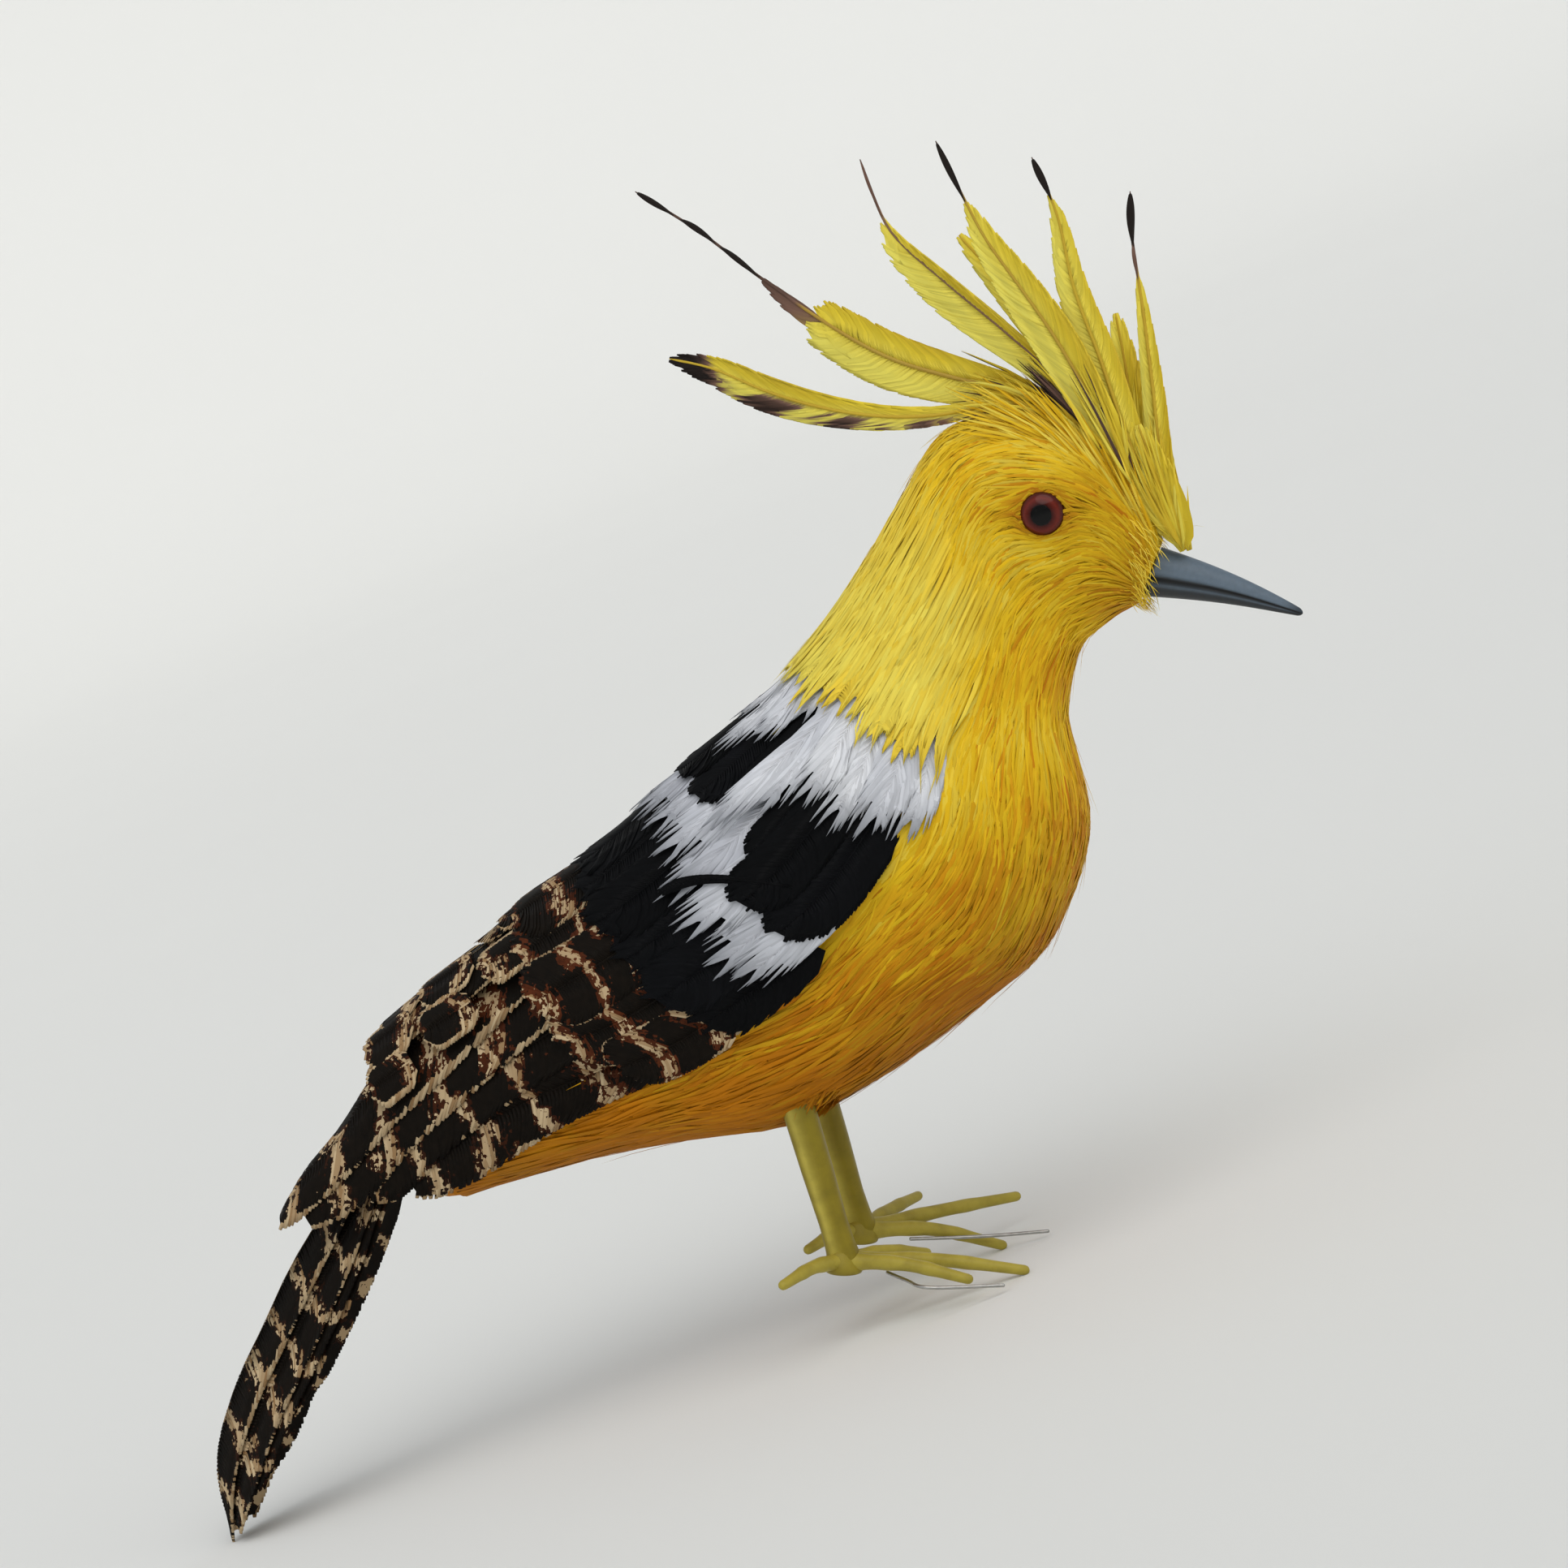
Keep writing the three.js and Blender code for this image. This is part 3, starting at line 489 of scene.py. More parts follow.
        low = np.stack([low_u, np.broadcast_to([0, 0.04, 0.04, 0.04], (m, 4))], -1)
        high = np.stack([high_u, np.broadcast_to([1, 0.96, 0.96, 0.96], (m, 4))], -1)
        corners = np.vstack([np.stack([across, upwards], -1).reshape(-1, 4, 2), low, high])
        turned = self.outwards(points, faces)
        if turned is not faces:
            corners = corners[:, ::-1]
        spread = {}
        for name, values in channels.items():
            grid = np.broadcast_to(values, (k, m))
            spread[name] = np.concatenate([grid.ravel(), [grid[0].mean(), grid[-1].mean()]])
        self.add(points, turned, corners, weight, spread)

    @staticmethod
    def outwards(points: Array, faces: Array, like: Array | None = None) -> Array:
        """Turns the faces round if the volume they enclose comes out negative.

        Args:
            points: Vertices (n, 3).
            faces: Quads (m, 4) that enclose the volume.
            like: Other rows to turn in the same way, or None for the faces themselves.

        Returns:
            The faces, or `like`, turned where needed.
        """
        a, b, c, d = (points[faces[:, i]] - points.mean(axis=0) for i in range(4))
        volume = (np.einsum("ij,ij->i", a, np.cross(b, c)) + np.einsum("ij,ij->i", a, np.cross(c, d))).sum()
        rows = faces if like is None else like
        return rows if volume > 0 else rows[:, ::-1]

    def build(self, name: str) -> bpy.types.Object:
        """Writes the gathered parts as one object at the origin, in metres in the row frame.

        Args:
            name: Name of the piece.

        Returns:
            The new object.
        """
        faces = np.vstack(self.faces)
        share = np.cumsum([0.0, *self.weights]) / sum(self.weights)
        bands = [c * [1, high - low] + [0, low] for c, low, high in zip(self.corners, share[:-1], share[1:])]
        corners = np.vstack(bands)
        keep = faces != np.roll(faces, 1, axis=1)
        totals = keep.sum(axis=1)
        loops = faces[keep]
        mesh = bpy.data.meshes.new(name)
        points = self.perch.to_row(np.vstack(self.vertices))
        mesh.vertices.add(len(points))
        mesh.vertices.foreach_set("co", points.astype(np.float32).ravel())
        mesh.loops.add(len(loops))
        mesh.loops.foreach_set("vertex_index", loops.astype(np.int32))
        mesh.polygons.add(len(faces))
        starts = np.concatenate([[0], np.cumsum(totals)[:-1]])
        mesh.polygons.foreach_set("loop_start", starts.astype(np.int32))
        mesh.update(calc_edges=True)
        mesh.polygons.foreach_set("use_smooth", np.ones(len(faces), bool))
        edges = np.empty(len(mesh.edges) * 2, np.int32)
        mesh.edges.foreach_get("vertices", edges)
        first, second = np.concatenate(self.creases)[edges.reshape(-1, 2)].T
        sharp = mesh.attributes.new("sharp_edge", "BOOLEAN", "EDGE")
        sharp.data.foreach_set("value", (first > 0) & (first == second))
        bake = mesh.uv_layers.new(name="OFBake")
        bake.data.foreach_set("uv", corners[keep].astype(np.float32).ravel())
        for channel, values in self.channels.items():
            layer = mesh.attributes.new(channel, "FLOAT", "POINT")
            layer.data.foreach_set("value", np.concatenate(values).astype(np.float32))
        mesh.update()
        piece = bpy.data.objects.new(name, mesh)
        bpy.context.scene.collection.objects.link(piece)
        log.info("%s: %d triangles", name, int((totals - 2).sum()))
        return piece


def add_node(
    tree: bpy.types.NodeTree, kind: str, *values: Any, output: int | str = 0, **named: Any
) -> Socket:
    """Adds a shader node with its settings and links.

    Args:
        tree: Node tree of the material.
        kind: Node type without its "ShaderNode" prefix.
        values: What the first inputs hold, in order: a value, or the output that feeds one.
        output: Name or number of the output that is wanted.
        named: Settings, written small, with "stops" for a colour ramp's positions and colours,
            and further inputs, written with a capital.

    Returns:
        The wanted output.
    """
    node = tree.nodes.new("ShaderNode" + kind)
    for name, value in named.items():
        if name == "stops":
            elements = node.color_ramp.elements
            for k, (position, colour) in enumerate(value):
                element = elements[k] if k < len(elements) else elements.new(position)
                element.position, element.color = position, colour
        elif name[0].islower():
            setattr(node, name, value)
    sockets = [*zip(node.inputs, values)]
    sockets += [(s, named[s.name]) for s in node.inputs if s.enabled and s.name in named]
    for socket, value in sockets:
        if isinstance(value, Socket):
            tree.links.new(value, socket)
        else:
            socket.default_value = value
    return node.outputs[output]


@dataclass(frozen=True)
class Finish:
    """A surface finish: what the shader's own sockets hold, and how its colour is worked out."""

    name: str
    roughness: float
    metallic: float = 0.0
    specular: float = 0.5

    def surface(self, add: AddNode) -> Surface:
        """The colour and the bump of the surface; each finish has its own."""
        raise NotImplementedError

    def make(self) -> bpy.types.Material:
        """Makes the material.

        Returns:
            The material, with its colour and bump linked to the shader.
        """
        material = bpy.data.materials.new(self.name)
        material.use_nodes = True
        tree = material.node_tree
        shader = tree.nodes["Principled BSDF"].inputs
        shader["Roughness"].default_value = self.roughness
        shader["Metallic"].default_value = self.metallic
        shader["Specular IOR Level"].default_value = self.specular
        colour, bump = self.surface(partial(add_node, tree))
        tree.links.new(colour, shader["Base Color"])
        if bump:
            tree.links.new(bump, shader["Normal"])
        return material


class FeatherColour(Enum):
    """The dyed and natural feathers, with light, middle and deep sRGB colours."""

    YELLOW = ("f2df5c", "efc41e", "cf8008")
    CREST = ("f6ea68", "eed438", "c79a22")
    WHITE = ("eceef2", "d3d6de", "8e919c")
    BLACK = ("14151a", "0a0b0d", "030304")


@dataclass(frozen=True)
class DyedFeather(Finish):
    """Dyed feather barbs: matt, silky, and uneven in tone from barb to barb and from patch to patch.

    The skin under the barbs carries the same combed streaks, half a millimetre wide, drawn by
    noise that is stretched along the body. Patches and streaks hold the scale of their noise.
    """

    colour: FeatherColour = FeatherColour.YELLOW
    # The brown and the black that darkening runs to: the feathers' own dark marks, and painted shade on the
    # yellow skin.
    stain_and_shade: str = "70451a"
    soot: str = "0e0a08"
    contrast: float = 0.3
    patches: float = 60.0
    streaks: tuple[float, float, float] = (1.9, 0.11, 0.0)

    def surface(self, add: AddNode) -> Surface:
        """Colour by tint, darker or lighter by tone; soot turns it to the stain and then black, which draws
        the feathers' dark marks and paints shade on the yellow skin.

        Args:
            add: Adds a node.

        Returns:
            Colour and bump.
        """
        light, middle, deep = (linear_colour(c) for c in self.colour.value)
        place = add("TexCoord", output="Object")
        channels = (add("Attribute", attribute_name=name, output="Fac") for name in CHANNELS)
        across, along, tone, tint, soot = channels
        patches = add("TexNoise", Vector=place, Scale=self.patches, Detail=3.0)
        drift = add("Math", patches, 0.5, -0.25, operation="MULTIPLY_ADD")
        tint = add("Math", tint, drift, operation="ADD")
        dye = add("ValToRGB", tint, stops=[(0.0, light), (0.5, middle), (1.0, deep)])
        combed = add("CombineXYZ", across, along)
        run = add("VectorMath", combed, self.streaks, operation="MULTIPLY")
        streaks = add("TexNoise", Vector=run, Scale=1.0, Detail=3.0)
        tone = add("Math", tone, self.contrast, 0.93 - self.contrast / 2, operation="MULTIPLY_ADD")
        combing = add("Math", streaks, self.contrast, -self.contrast / 2, operation="MULTIPLY_ADD")
        value = add("Math", tone, combing, operation="ADD")
        shaded = add("HueSaturation", Value=value, Color=dye)
        # Darkening runs through the brown to black: the feathers' dark marks, and painted shade on the
        # yellow skin, brown round the eyes and black under the back feathers.
        doubled_soot_and_shade = add("Math", soot, 2.0, operation="MULTIPLY")
        first = add("Math", doubled_soot_and_shade, 1.0, operation="MINIMUM")
        second = add("Math", add("Math", doubled_soot_and_shade, 1.0, operation="SUBTRACT"), 0.0, operation="MAXIMUM")
        stain_and_shade, black = linear_colour(self.stain_and_shade), linear_colour(self.soot)
        stained_and_shaded = add("Mix", data_type="RGBA", Factor=first, A=shaded, B=stain_and_shade, output=2)
        colour = add("Mix", data_type="RGBA", Factor=second, A=stained_and_shaded, B=black, output=2)
        return colour, add("Bump", Strength=0.5, Distance=0.3 * MM, Height=streaks)


@dataclass(frozen=True)
class BarredFeather(Finish):
    """Natural game-bird feather: near-black vane with ragged cream bars, pale edges and rust tints.

    The bars lie 12.5 mm apart. Each barb carries its own piece of the bar, a little before or
    behind its neighbours', so the bars are ragged. The noises are scale and detail of the rough,
    broad and flecked unevenness.
    """

    bar_spacing: float = 12.5
    bar_width: float = 0.17
    noises: tuple[tuple[float, float], ...] = ((500.0, 3.0), (90.0, 2.0), (900.0, 2.0))
    dark: tuple[str, str] = ("080705", "1a130c")
    cream: tuple[str, str] = ("cdb691", "94744f")
    rust: str = "6b3318"

    def surface(self, add: AddNode) -> Surface:
        """Bars are bands of the along channel; the pale edge is a limit of the across channel.

        Args:
            add: Adds a node.

        Returns:
            Colour, and no bump.
        """
        place = add("TexCoord", output="Object")
        rough, broad, flecks = (
            add("TexNoise", Vector=place, Scale=scale, Detail=detail) for scale, detail in self.noises
        )
        channels = (add("Attribute", attribute_name=name, output="Fac") for name in CHANNELS)
        across, along, tone, tint, soot = channels
        across = add("Math", across, operation="ABSOLUTE")
        bend = add("Math", across, -2.2, operation="MULTIPLY")
        wander = add("Math", broad, 13.0, -6.5, operation="MULTIPLY_ADD")
        jitter = add("Math", rough, 5.0, -2.5, operation="MULTIPLY_ADD")
        ragged = add("Math", tone, 1.7, -0.85, operation="MULTIPLY_ADD")
        for part in (bend, wander, jitter, ragged):
            along = add("Math", along, part, operation="ADD")
        phase = add("Math", add("Math", along, self.bar_spacing, operation="DIVIDE"), operation="FRACT")
        beside = add("Math", add("Math", phase, 0.5, operation="SUBTRACT"), operation="ABSOLUTE")
        broader = add("Math", tint, -0.06, self.bar_width / 2 - 0.16, operation="MULTIPLY_ADD")
        swelling = add("Math", flecks, 0.4, broader, operation="MULTIPLY_ADD")
        in_bar = add("Math", beside, swelling, operation="LESS_THAN")
        limit = add("Math", broad, -0.6, 1.28, operation="MULTIPLY_ADD")
        rim = add("Math", flecks, 0.1, across, operation="MULTIPLY_ADD")
        at_edge = add("Math", rim, limit, operation="GREATER_THAN")
        pale = add("Math", in_bar, at_edge, operation="MAXIMUM")
        pale = add("Math", pale, soot, operation="MAXIMUM")
        halo = add("Math", flecks, self.bar_width * 2.2, operation="MULTIPLY")
        near = add("Math", beside, halo, operation="LESS_THAN")
        rusty = add("Math", near, add("Math", tint, rough, operation="MULTIPLY"), operation="MULTIPLY")
        dark, cream = ([linear_colour(code) for code in pair] for pair in (self.dark, self.cream))
        vane = add("Mix", data_type="RGBA", Factor=rough, A=dark[0], B=dark[1], output=2)
        ground = add("Mix", data_type="RGBA", Factor=rusty, A=vane, B=linear_colour(self.rust), output=2)
        bars = add("Mix", data_type="RGBA", Factor=tone, A=cream[0], B=cream[1], output=2)
        return add("Mix", data_type="RGBA", Factor=pale, A=ground, B=bars, output=2), None


@dataclass(frozen=True)
class BeakPlastic(Finish):
    """Moulded slate plastic: blue-grey above the gape line, darker below and in the groove."""

    upper: str = "5d6c7a"
    lower: str = "2e3338"
    groove: str = "121417"
    scuffs: float = 900.0

    def surface(self, add: AddNode) -> Surface:
        """Tint runs from the lower to the upper beak, soot darkens the groove and the tip.

        Args:
            add: Adds a node.

        Returns:
            Colour and bump.
        """
        upper, lower, groove = (linear_colour(code) for code in (self.upper, self.lower, self.groove))
        tint, soot = (add("Attribute", attribute_name=name, output="Fac") for name in ("tint", "soot"))
        place = add("TexCoord", output="Object")
        scuffs = add("TexNoise", Vector=place, Scale=self.scuffs, Detail=4.0)
        body = add("Mix", data_type="RGBA", Factor=tint, A=lower, B=upper, output=2)
        value = add("Math", scuffs, 0.35, 0.82, operation="MULTIPLY_ADD")
        body = add("HueSaturation", Value=value, Color=body)
        colour = add("Mix", data_type="RGBA", Factor=soot, A=body, B=groove, output=2)
        return colour, add("Bump", Strength=0.2, Distance=0.2 * MM, Height=scuffs)


@dataclass(frozen=True)
class EyeGlass(Finish):
    """Painted glass eye: black pupil, red-brown iris that darkens to its rim, under a clear gloss."""

    rings: tuple[tuple[float, str], ...] = (
        (0.0, "020202"),
        (0.44, "020202"),
        (0.52, "3e0f09"),
        (0.76, "6c2216"),
        (0.95, "40130b"),
    )
    flecks: float = 1500.0

    def surface(self, add: AddNode) -> Surface:
        """Rings of the across channel, which is the distance from the middle of the eye.

        Args:
            add: Adds a node.

        Returns:
            Colour, and no bump.
        """
        place = add("TexCoord", output="Object")
        flecks = add("TexNoise", Vector=place, Scale=self.flecks, Detail=3.0)
        uneven = add("Math", flecks, 0.06, -0.03, operation="MULTIPLY_ADD")
        across = add("Attribute", attribute_name="across", output="Fac")
        reach = add("Math", across, uneven, operation="ADD")
        stops = [(at, linear_colour(code)) for at, code in self.rings]
        return add("ValToRGB", reach, stops=stops), None


@dataclass(frozen=True)
class LegPlastic(Finish):
    """Moulded olive-yellow plastic, a little mottled, with a paler band down the middle of the shank that is
    a painted highlight.
    """

    body: str = "8c7c1d"
    # Colour of the painted highlight on the shank and on the toes.
    pale: str = "c0b04c"
    # Colour of the darker patches that noise spreads at random.
    dark_mottle: str = "4f4210"
    mottle: float = 260.0
    grain: float = 1400.0

    def surface(self, add: AddNode) -> Surface:
        """Tint lightens the middle of the shank and the toes as a painted highlight, and noise dulls it in
        patches.

        Args:
            add: Adds a node.

        Returns:
            Colour and bump.
        """
        place = add("TexCoord", output="Object")
        tint = add("Attribute", attribute_name="tint", output="Fac")
        mottle = add("TexNoise", Vector=place, Scale=self.mottle, Detail=4.0)
        grain = add("TexNoise", Vector=place, Scale=self.grain, Detail=2.0)
        clean, pale, dark_mottle = (linear_colour(code) for code in (self.body, self.pale, self.dark_mottle))
        body = add("Mix", data_type="RGBA", Factor=tint, A=clean, B=pale, output=2)
        patchy = add("Math", mottle, 0.9, -0.35, operation="MULTIPLY_ADD")
        dull = add("Math", patchy, 0.0, operation="MAXIMUM")
        colour = add("Mix", data_type="RGBA", Factor=dull, A=body, B=dark_mottle, output=2)
        return colour, add("Bump", Strength=0.3, Distance=0.2 * MM, Height=grain)


@dataclass(frozen=True)
class WireSteel(Finish):
    """Drawn steel wire, bright with fine dull streaks."""

    dull: str = "8e8e8c"
    bright: str = "c4c4c0"
    streaks: float = 800.0

    def surface(self, add: AddNode) -> Surface:
        """Light and dull grey by noise.

        Args:
            add: Adds a node.

        Returns:
            Colour, and no bump.
        """
        place = add("TexCoord", output="Object")
        streaks = add("TexNoise", Vector=place, Scale=self.streaks, Detail=2.0)
        dull, bright = linear_colour(self.dull), linear_colour(self.bright)
        return add("Mix", data_type="RGBA", Factor=streaks, A=dull, B=bright, output=2), None


@dataclass(frozen=True)
class PaintedFloor(Finish):
    """Matt pale paint of the floor that the bird stands on."""

    colour: str = "e6e7e5"
    clouds: float = 3.0

    def surface(self, add: AddNode) -> Surface:
        """One pale colour, a hair uneven.

        Args:
            add: Adds a node.

        Returns:
            Colour, and no bump.
        """
        place = add("TexCoord", output="Object")
        uneven = add("TexNoise", Vector=place, Scale=self.clouds)
        value = add("Math", uneven, 0.02, 0.99, operation="MULTIPLY_ADD")
        return add("HueSaturation", Value=value, Color=linear_colour(self.colour)), None


class Wardrobe:
    """Every finish of the bird, each made once, with the record's slot that it belongs to."""

    def __init__(self) -> None:
        """Makes the materials."""
        crest = {"colour": FeatherColour.CREST, "stain_and_shade": "7c5d50", "contrast": 0.2}
        white = {"colour": FeatherColour.WHITE, "stain_and_shade": "85888f"}
        black = {"colour": FeatherColour.BLACK}
        finishes = {
            "plumage_yellow": DyedFeather("dyed_yellow_plumage", 0.6, specular=0.12),
            "feather_yellow": DyedFeather("dyed_yellow_quill_feather", 0.5, specular=0.2, **crest),
            "feather_white": DyedFeather("bleached_white_feather", 0.6, specular=0.2, **white),
            "feather_black": DyedFeather("dyed_black_feather", 0.55, specular=0.06, **black),
            "feather_barred": BarredFeather("natural_barred_feather", 0.6, specular=0.08),
            "beak_slate": BeakPlastic("moulded_slate_plastic", 0.42, specular=0.35),
            "eye_red_brown": EyeGlass("painted_glass_eye", 0.12, specular=0.22),
            "leg_olive": LegPlastic("moulded_olive_plastic", 0.45, specular=0.25),
            "wire_steel": WireSteel("drawn_steel_wire", 0.32, metallic=1.0),
        }
        self.materials = {slot: finish.make() for slot, finish in finishes.items()}

    def dress(self, piece: bpy.types.Object, slot: str, *nodes: str) -> None:
        """Gives a piece the material of its slot, sets it on the root body and hides what it replaces.

        Args:
            piece: The piece.
            slot: Its material slot in the record.
            nodes: The nodes that it stands for.
        """
        piece.data.materials.append(self.materials[slot])
        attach(piece, "root")
        if nodes:
            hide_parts(*nodes)


@dataclass
class SubAssembly:
    """What each sub-assembly works with: the perch frame, the foam body and the finishes."""

    perch: PerchFrame
    shape: BodyShape
    wardrobe: Wardrobe

    def finish(self, mesh: PieceMesh, name: str, slot: str, *nodes: str) -> None:
        """Makes a piece of a gathered mesh and dresses it."""
        self.wardrobe.dress(mesh.build(name), slot, *nodes)


@dataclass
class Feather:
    """A feather with a shaft, barbs and a thin membrane behind them, laid out on its own plane.

    Its plane has x from -1 to 1 across, in full half widths, and y from 0 at the root to 1 at the
    tip. A barb leaves the shaft at a wide angle and curves tipwards until it meets the outline.
    Where the feather is frayed, barbs run on past the outline and draw together in tufts.
    """

    length: float
    half_width: float
    spacing: float = 0.62
    slant: float = 0.25
    fray: float = 0.3
    clump: int = 7
    tuft: float = 0.0
    blunt: float = 0.6
    height: float = 0.07
    points: int = 4
    shaft: float = 0.26
    swell: Callable[[Array], Array] = lambda v: Feather.rounded(v)
    membrane: float = 0.985
    dome: float = 0.4
    edge: float = 1.0
    pale_tip: float = 0.0
    shaft_soot: float = 0.0

    def share(self, x: Array, y: Array) -> Array:
        """How far a point lies from the shaft to the outline, times the strength of the edge."""
        strength = self.edge * (1 + self.pale_tip * smooth_step(0.86, 1.0, y))
        return strength * np.clip(x / np.maximum(self.swell(np.clip(y, 0, 0.998)), 0.2), -1, 1)

    @staticmethod
    def rounded(v: Array) -> Array:
        """Width along the feather as a share: narrow at the root, rounded at the tip."""
        tip = np.sqrt(np.clip(1 - (np.maximum(v - 0.8, 0) / 0.205) ** 2, 0.0, 1))
        return np.minimum(0.55 + 2.2 * v, 1) * tip

    def barb_grid(self, rng: Rng) -> tuple[Array, Array]:
        """Lines of all barbs on the feather's plane.

        x is the outline's x times 1 - (1 - t)^1.5, and y runs from the shaft to the outline as
        t^1.3, with t from 0 to 1. Ends in a tuft are drawn towards the tuft's mean place.

        Args:
            rng: Random numbers.

        Returns:
            x and y, each (number of barbs, points).
        """
        count = max(int(self.length / self.spacing), 8)
        start = np.tile((np.arange(count) + 0.5) / count * 0.96, 2)
        side = np.repeat([-1.0, 1.0], count)
        reach = np.minimum(start + self.slant * (1 - start) ** 0.35, 0.998)
        group = (np.arange(2 * count) + self.clump // 2) // self.clump
        members = np.maximum(np.bincount(group), 1)
        reach = reach + rng.normal(0, 0.008, len(reach))
        reach = reach + self.tuft * ((np.bincount(group, reach) / members)[group] - reach)
        outline = side * self.swell(np.clip(reach, 0, 0.998))
        outline = outline + self.tuft * 0.8 * ((np.bincount(group, outline) / members)[group] - outline)
        longer = 0.7 * rng.uniform(0, 1, len(members))[group] + 0.3 * rng.uniform(0, 1, len(start))
        end = reach + self.fray * longer / self.length
        t = np.linspace(0, 1, self.points)[None]
        x = outline[:, None] * (1 - (1 - t) ** 1.5)
        return x, start[:, None] + (end - start)[:, None] * t**1.3

    def lay(self, mesh: PieceMesh, place: Place, rng: Rng, start: float = 0.0, **channels: Channel) -> None:
        """Adds the feather to a piece.

        Args:
            mesh: The piece.
            place: Turns x, y and a lift in millimetres into points and normals.
            rng: Random numbers.
            start: Millimetres added to the along channel, which shifts a pattern.
            channels: Numbers, or functions of x and y, for tint and soot.
        """

        def values(x: Array, y: Array) -> dict[str, Channel]:
            """The channels at places of the plane."""
            given = {name: value(x, y) if callable(value) else value for name, value in channels.items()}
            return {"along": start + y * self.length, **given}

        x, y = self.barb_grid(rng)
        line, normal = place(x, y, self.dome * (1 - x**2) + rng.uniform(0, 0.08, (len(x), 1)))
        profile = np.interp(np.linspace(0, 1, self.points), [0, 0.25, 0.75, 1], [0.6, 1, 0.95, self.blunt])
        tone = rng.uniform(0, 1, (len(x), 1))
        width = self.spacing * 0.8 * profile
        mesh.add_blades(line, normal, width, self.height, across=self.share(x, y), tone=tone, **values(x, y))
        y = np.linspace(0, 0.97, 14)[None]
        x = np.zeros_like(y)
        line, normal = place(x, y, np.full_like(y, self.dome + 0.06))
        thick = self.shaft * (1 - 0.75 * y)
        marks = values(x, y) | ({"soot": self.shaft_soot} if self.shaft_soot else {})
        mesh.add_blades(line, normal, thick, thick * 0.7, tone=0.3, **marks)
        if self.membrane:
            u, y = np.meshgrid(np.linspace(-1, 1, 9), np.linspace(0, self.membrane, 16))
            x = u * self.swell(y) * 0.93
            line, normal = place(x, y, self.dome * (1 - x**2) - 0.06)
            mesh.add_sheet(line, normal, 0.2, across=self.share(x, y), tone=0.4, **values(x, y))


@dataclass(frozen=True)
class RowFeather:
    """A feather of the back: angle and station of its tip, half width and length in millimetres.

    Sway is how many degrees its root is turned away from its tip.
    """

    degrees: float
    tip: float
    half_width: float
    length: float
    sway: float = 0.0

    def on_body(self, shape: BodyShape, order: int, side: int = 1, raised: float = 0.0) -> Place:
        """Where the feather lies: its tip at its station and angle, on its row's layer.

        Args:
            shape: The body.
            order: The row's place from the neck.
            side: Left is 1, right is -1.
            raised: Millimetres over the layer.

        Returns:
            The function that places the feather's plane.
        """
        turned = side * self.degrees
        per_station, _ = shape.steps(np.array(self.tip - 1.0), np.array(turned))
        stations = self.length / float(per_station)

        def place(x: Array, y: Array, lift: Array) -> tuple[Array, Array]:
            """Station by y, angle by x, and the row's lift plus the feather's own.

            Args:
                x: Across the feather.
                y: Along it.
                lift: Millimetres.

            Returns:
                Places and unit normals.
            """
            station = self.tip - (1 - y) * stations
            centre = turned + side * self.sway * (1 - y) ** 2
            _, per_degree = shape.steps(station, centre + 0 * y)
            angle = centre + x * self.half_width / per_degree
            return shape.on(station, angle, shape.row_lift(order, station, angle) + (lift + raised))

        return place


@dataclass(frozen=True)
class BackRow:
    """A row of the back: its slot, tint, soot and feathers on one side, and fields of Feather.

    Each feather holds the values of a RowFeather.
    """

    slot: str
    tint: float
    feathers: tuple[tuple[float, ...], ...]
    style: dict[str, float]
    soot: Channel = 0.0


def grey_end(x: Array, y: Array) -> Array:
    """Soot of the white feathers, which turn greyer towards the end."""
    return 0.42 * smooth_step(0.72, 1.12, y)


def mantle_row() -> tuple[tuple[float, ...], ...]:
    """The mantle's feathers, whose tips lie on a line that sinks towards the wings."""
    line = ([0, 50, 70, 90, 105], [9.7, 9.8, 9.9, 10.3, 10.3])
    return tuple((a, float(np.interp(a, *line)), 4.4, 24) for a in range(0, 89, 11))


FRONT_WHITE = (
    ((0, 11.1, 4, 24), (11, 10.9, 4, 24), (22, 11.6, 4, 26), (34, 11, 3.6, 24), (44, 10.2, 3.6, 20))
    + ((49, 13.3, 3.4, 32, 8), (57, 12.5, 3.2, 28, 2), (66, 11.9, 4.5, 26), (77, 12.1, 5, 26))
    + ((88, 12, 5, 26), (98, 11.8, 4.2, 26))
)
FRONT_BLACK = (
    ((0, 13.1, 5, 32), (14, 13.3, 6.5, 32), (34, 13.5, 7, 34), (47, 12.6, 3.4, 30))
    + ((65, 13.8, 4.2, 28), (74, 14.85, 6.6, 36), (88, 15.2, 7.2, 38), (55, 15.55, 1.1, 15, 25))
)
REAR_WHITE = (
    ((0, 14.5, 5.5, 30), (15, 14.4, 5.5, 30), (30, 14.4, 5.5, 30), (44, 14.8, 5.5, 34))
    + ((57, 15.3, 5, 32), (70, 15.6, 5.5, 32), (84, 15.9, 6, 34), (92, 15.9, 4.8, 34))
)
REAR_BLACK = (
    ((0, 16.2, 6, 30), (15, 16.4, 6.5, 30), (31, 16.7, 7, 30), (48, 16.8, 7, 32))
    + ((65, 17, 7, 32), (82, 17.2, 7.5, 32), (97, 17.1, 6.5, 30))
)
COVERTS = (
    ((0, 17.9, 7, 30), (19, 18.1, 7.5, 30), (40, 18.4, 8, 30))
    + ((61, 18.7, 8, 30), (82, 18.9, 8, 30), (98, 18.6, 6.5, 28))
)
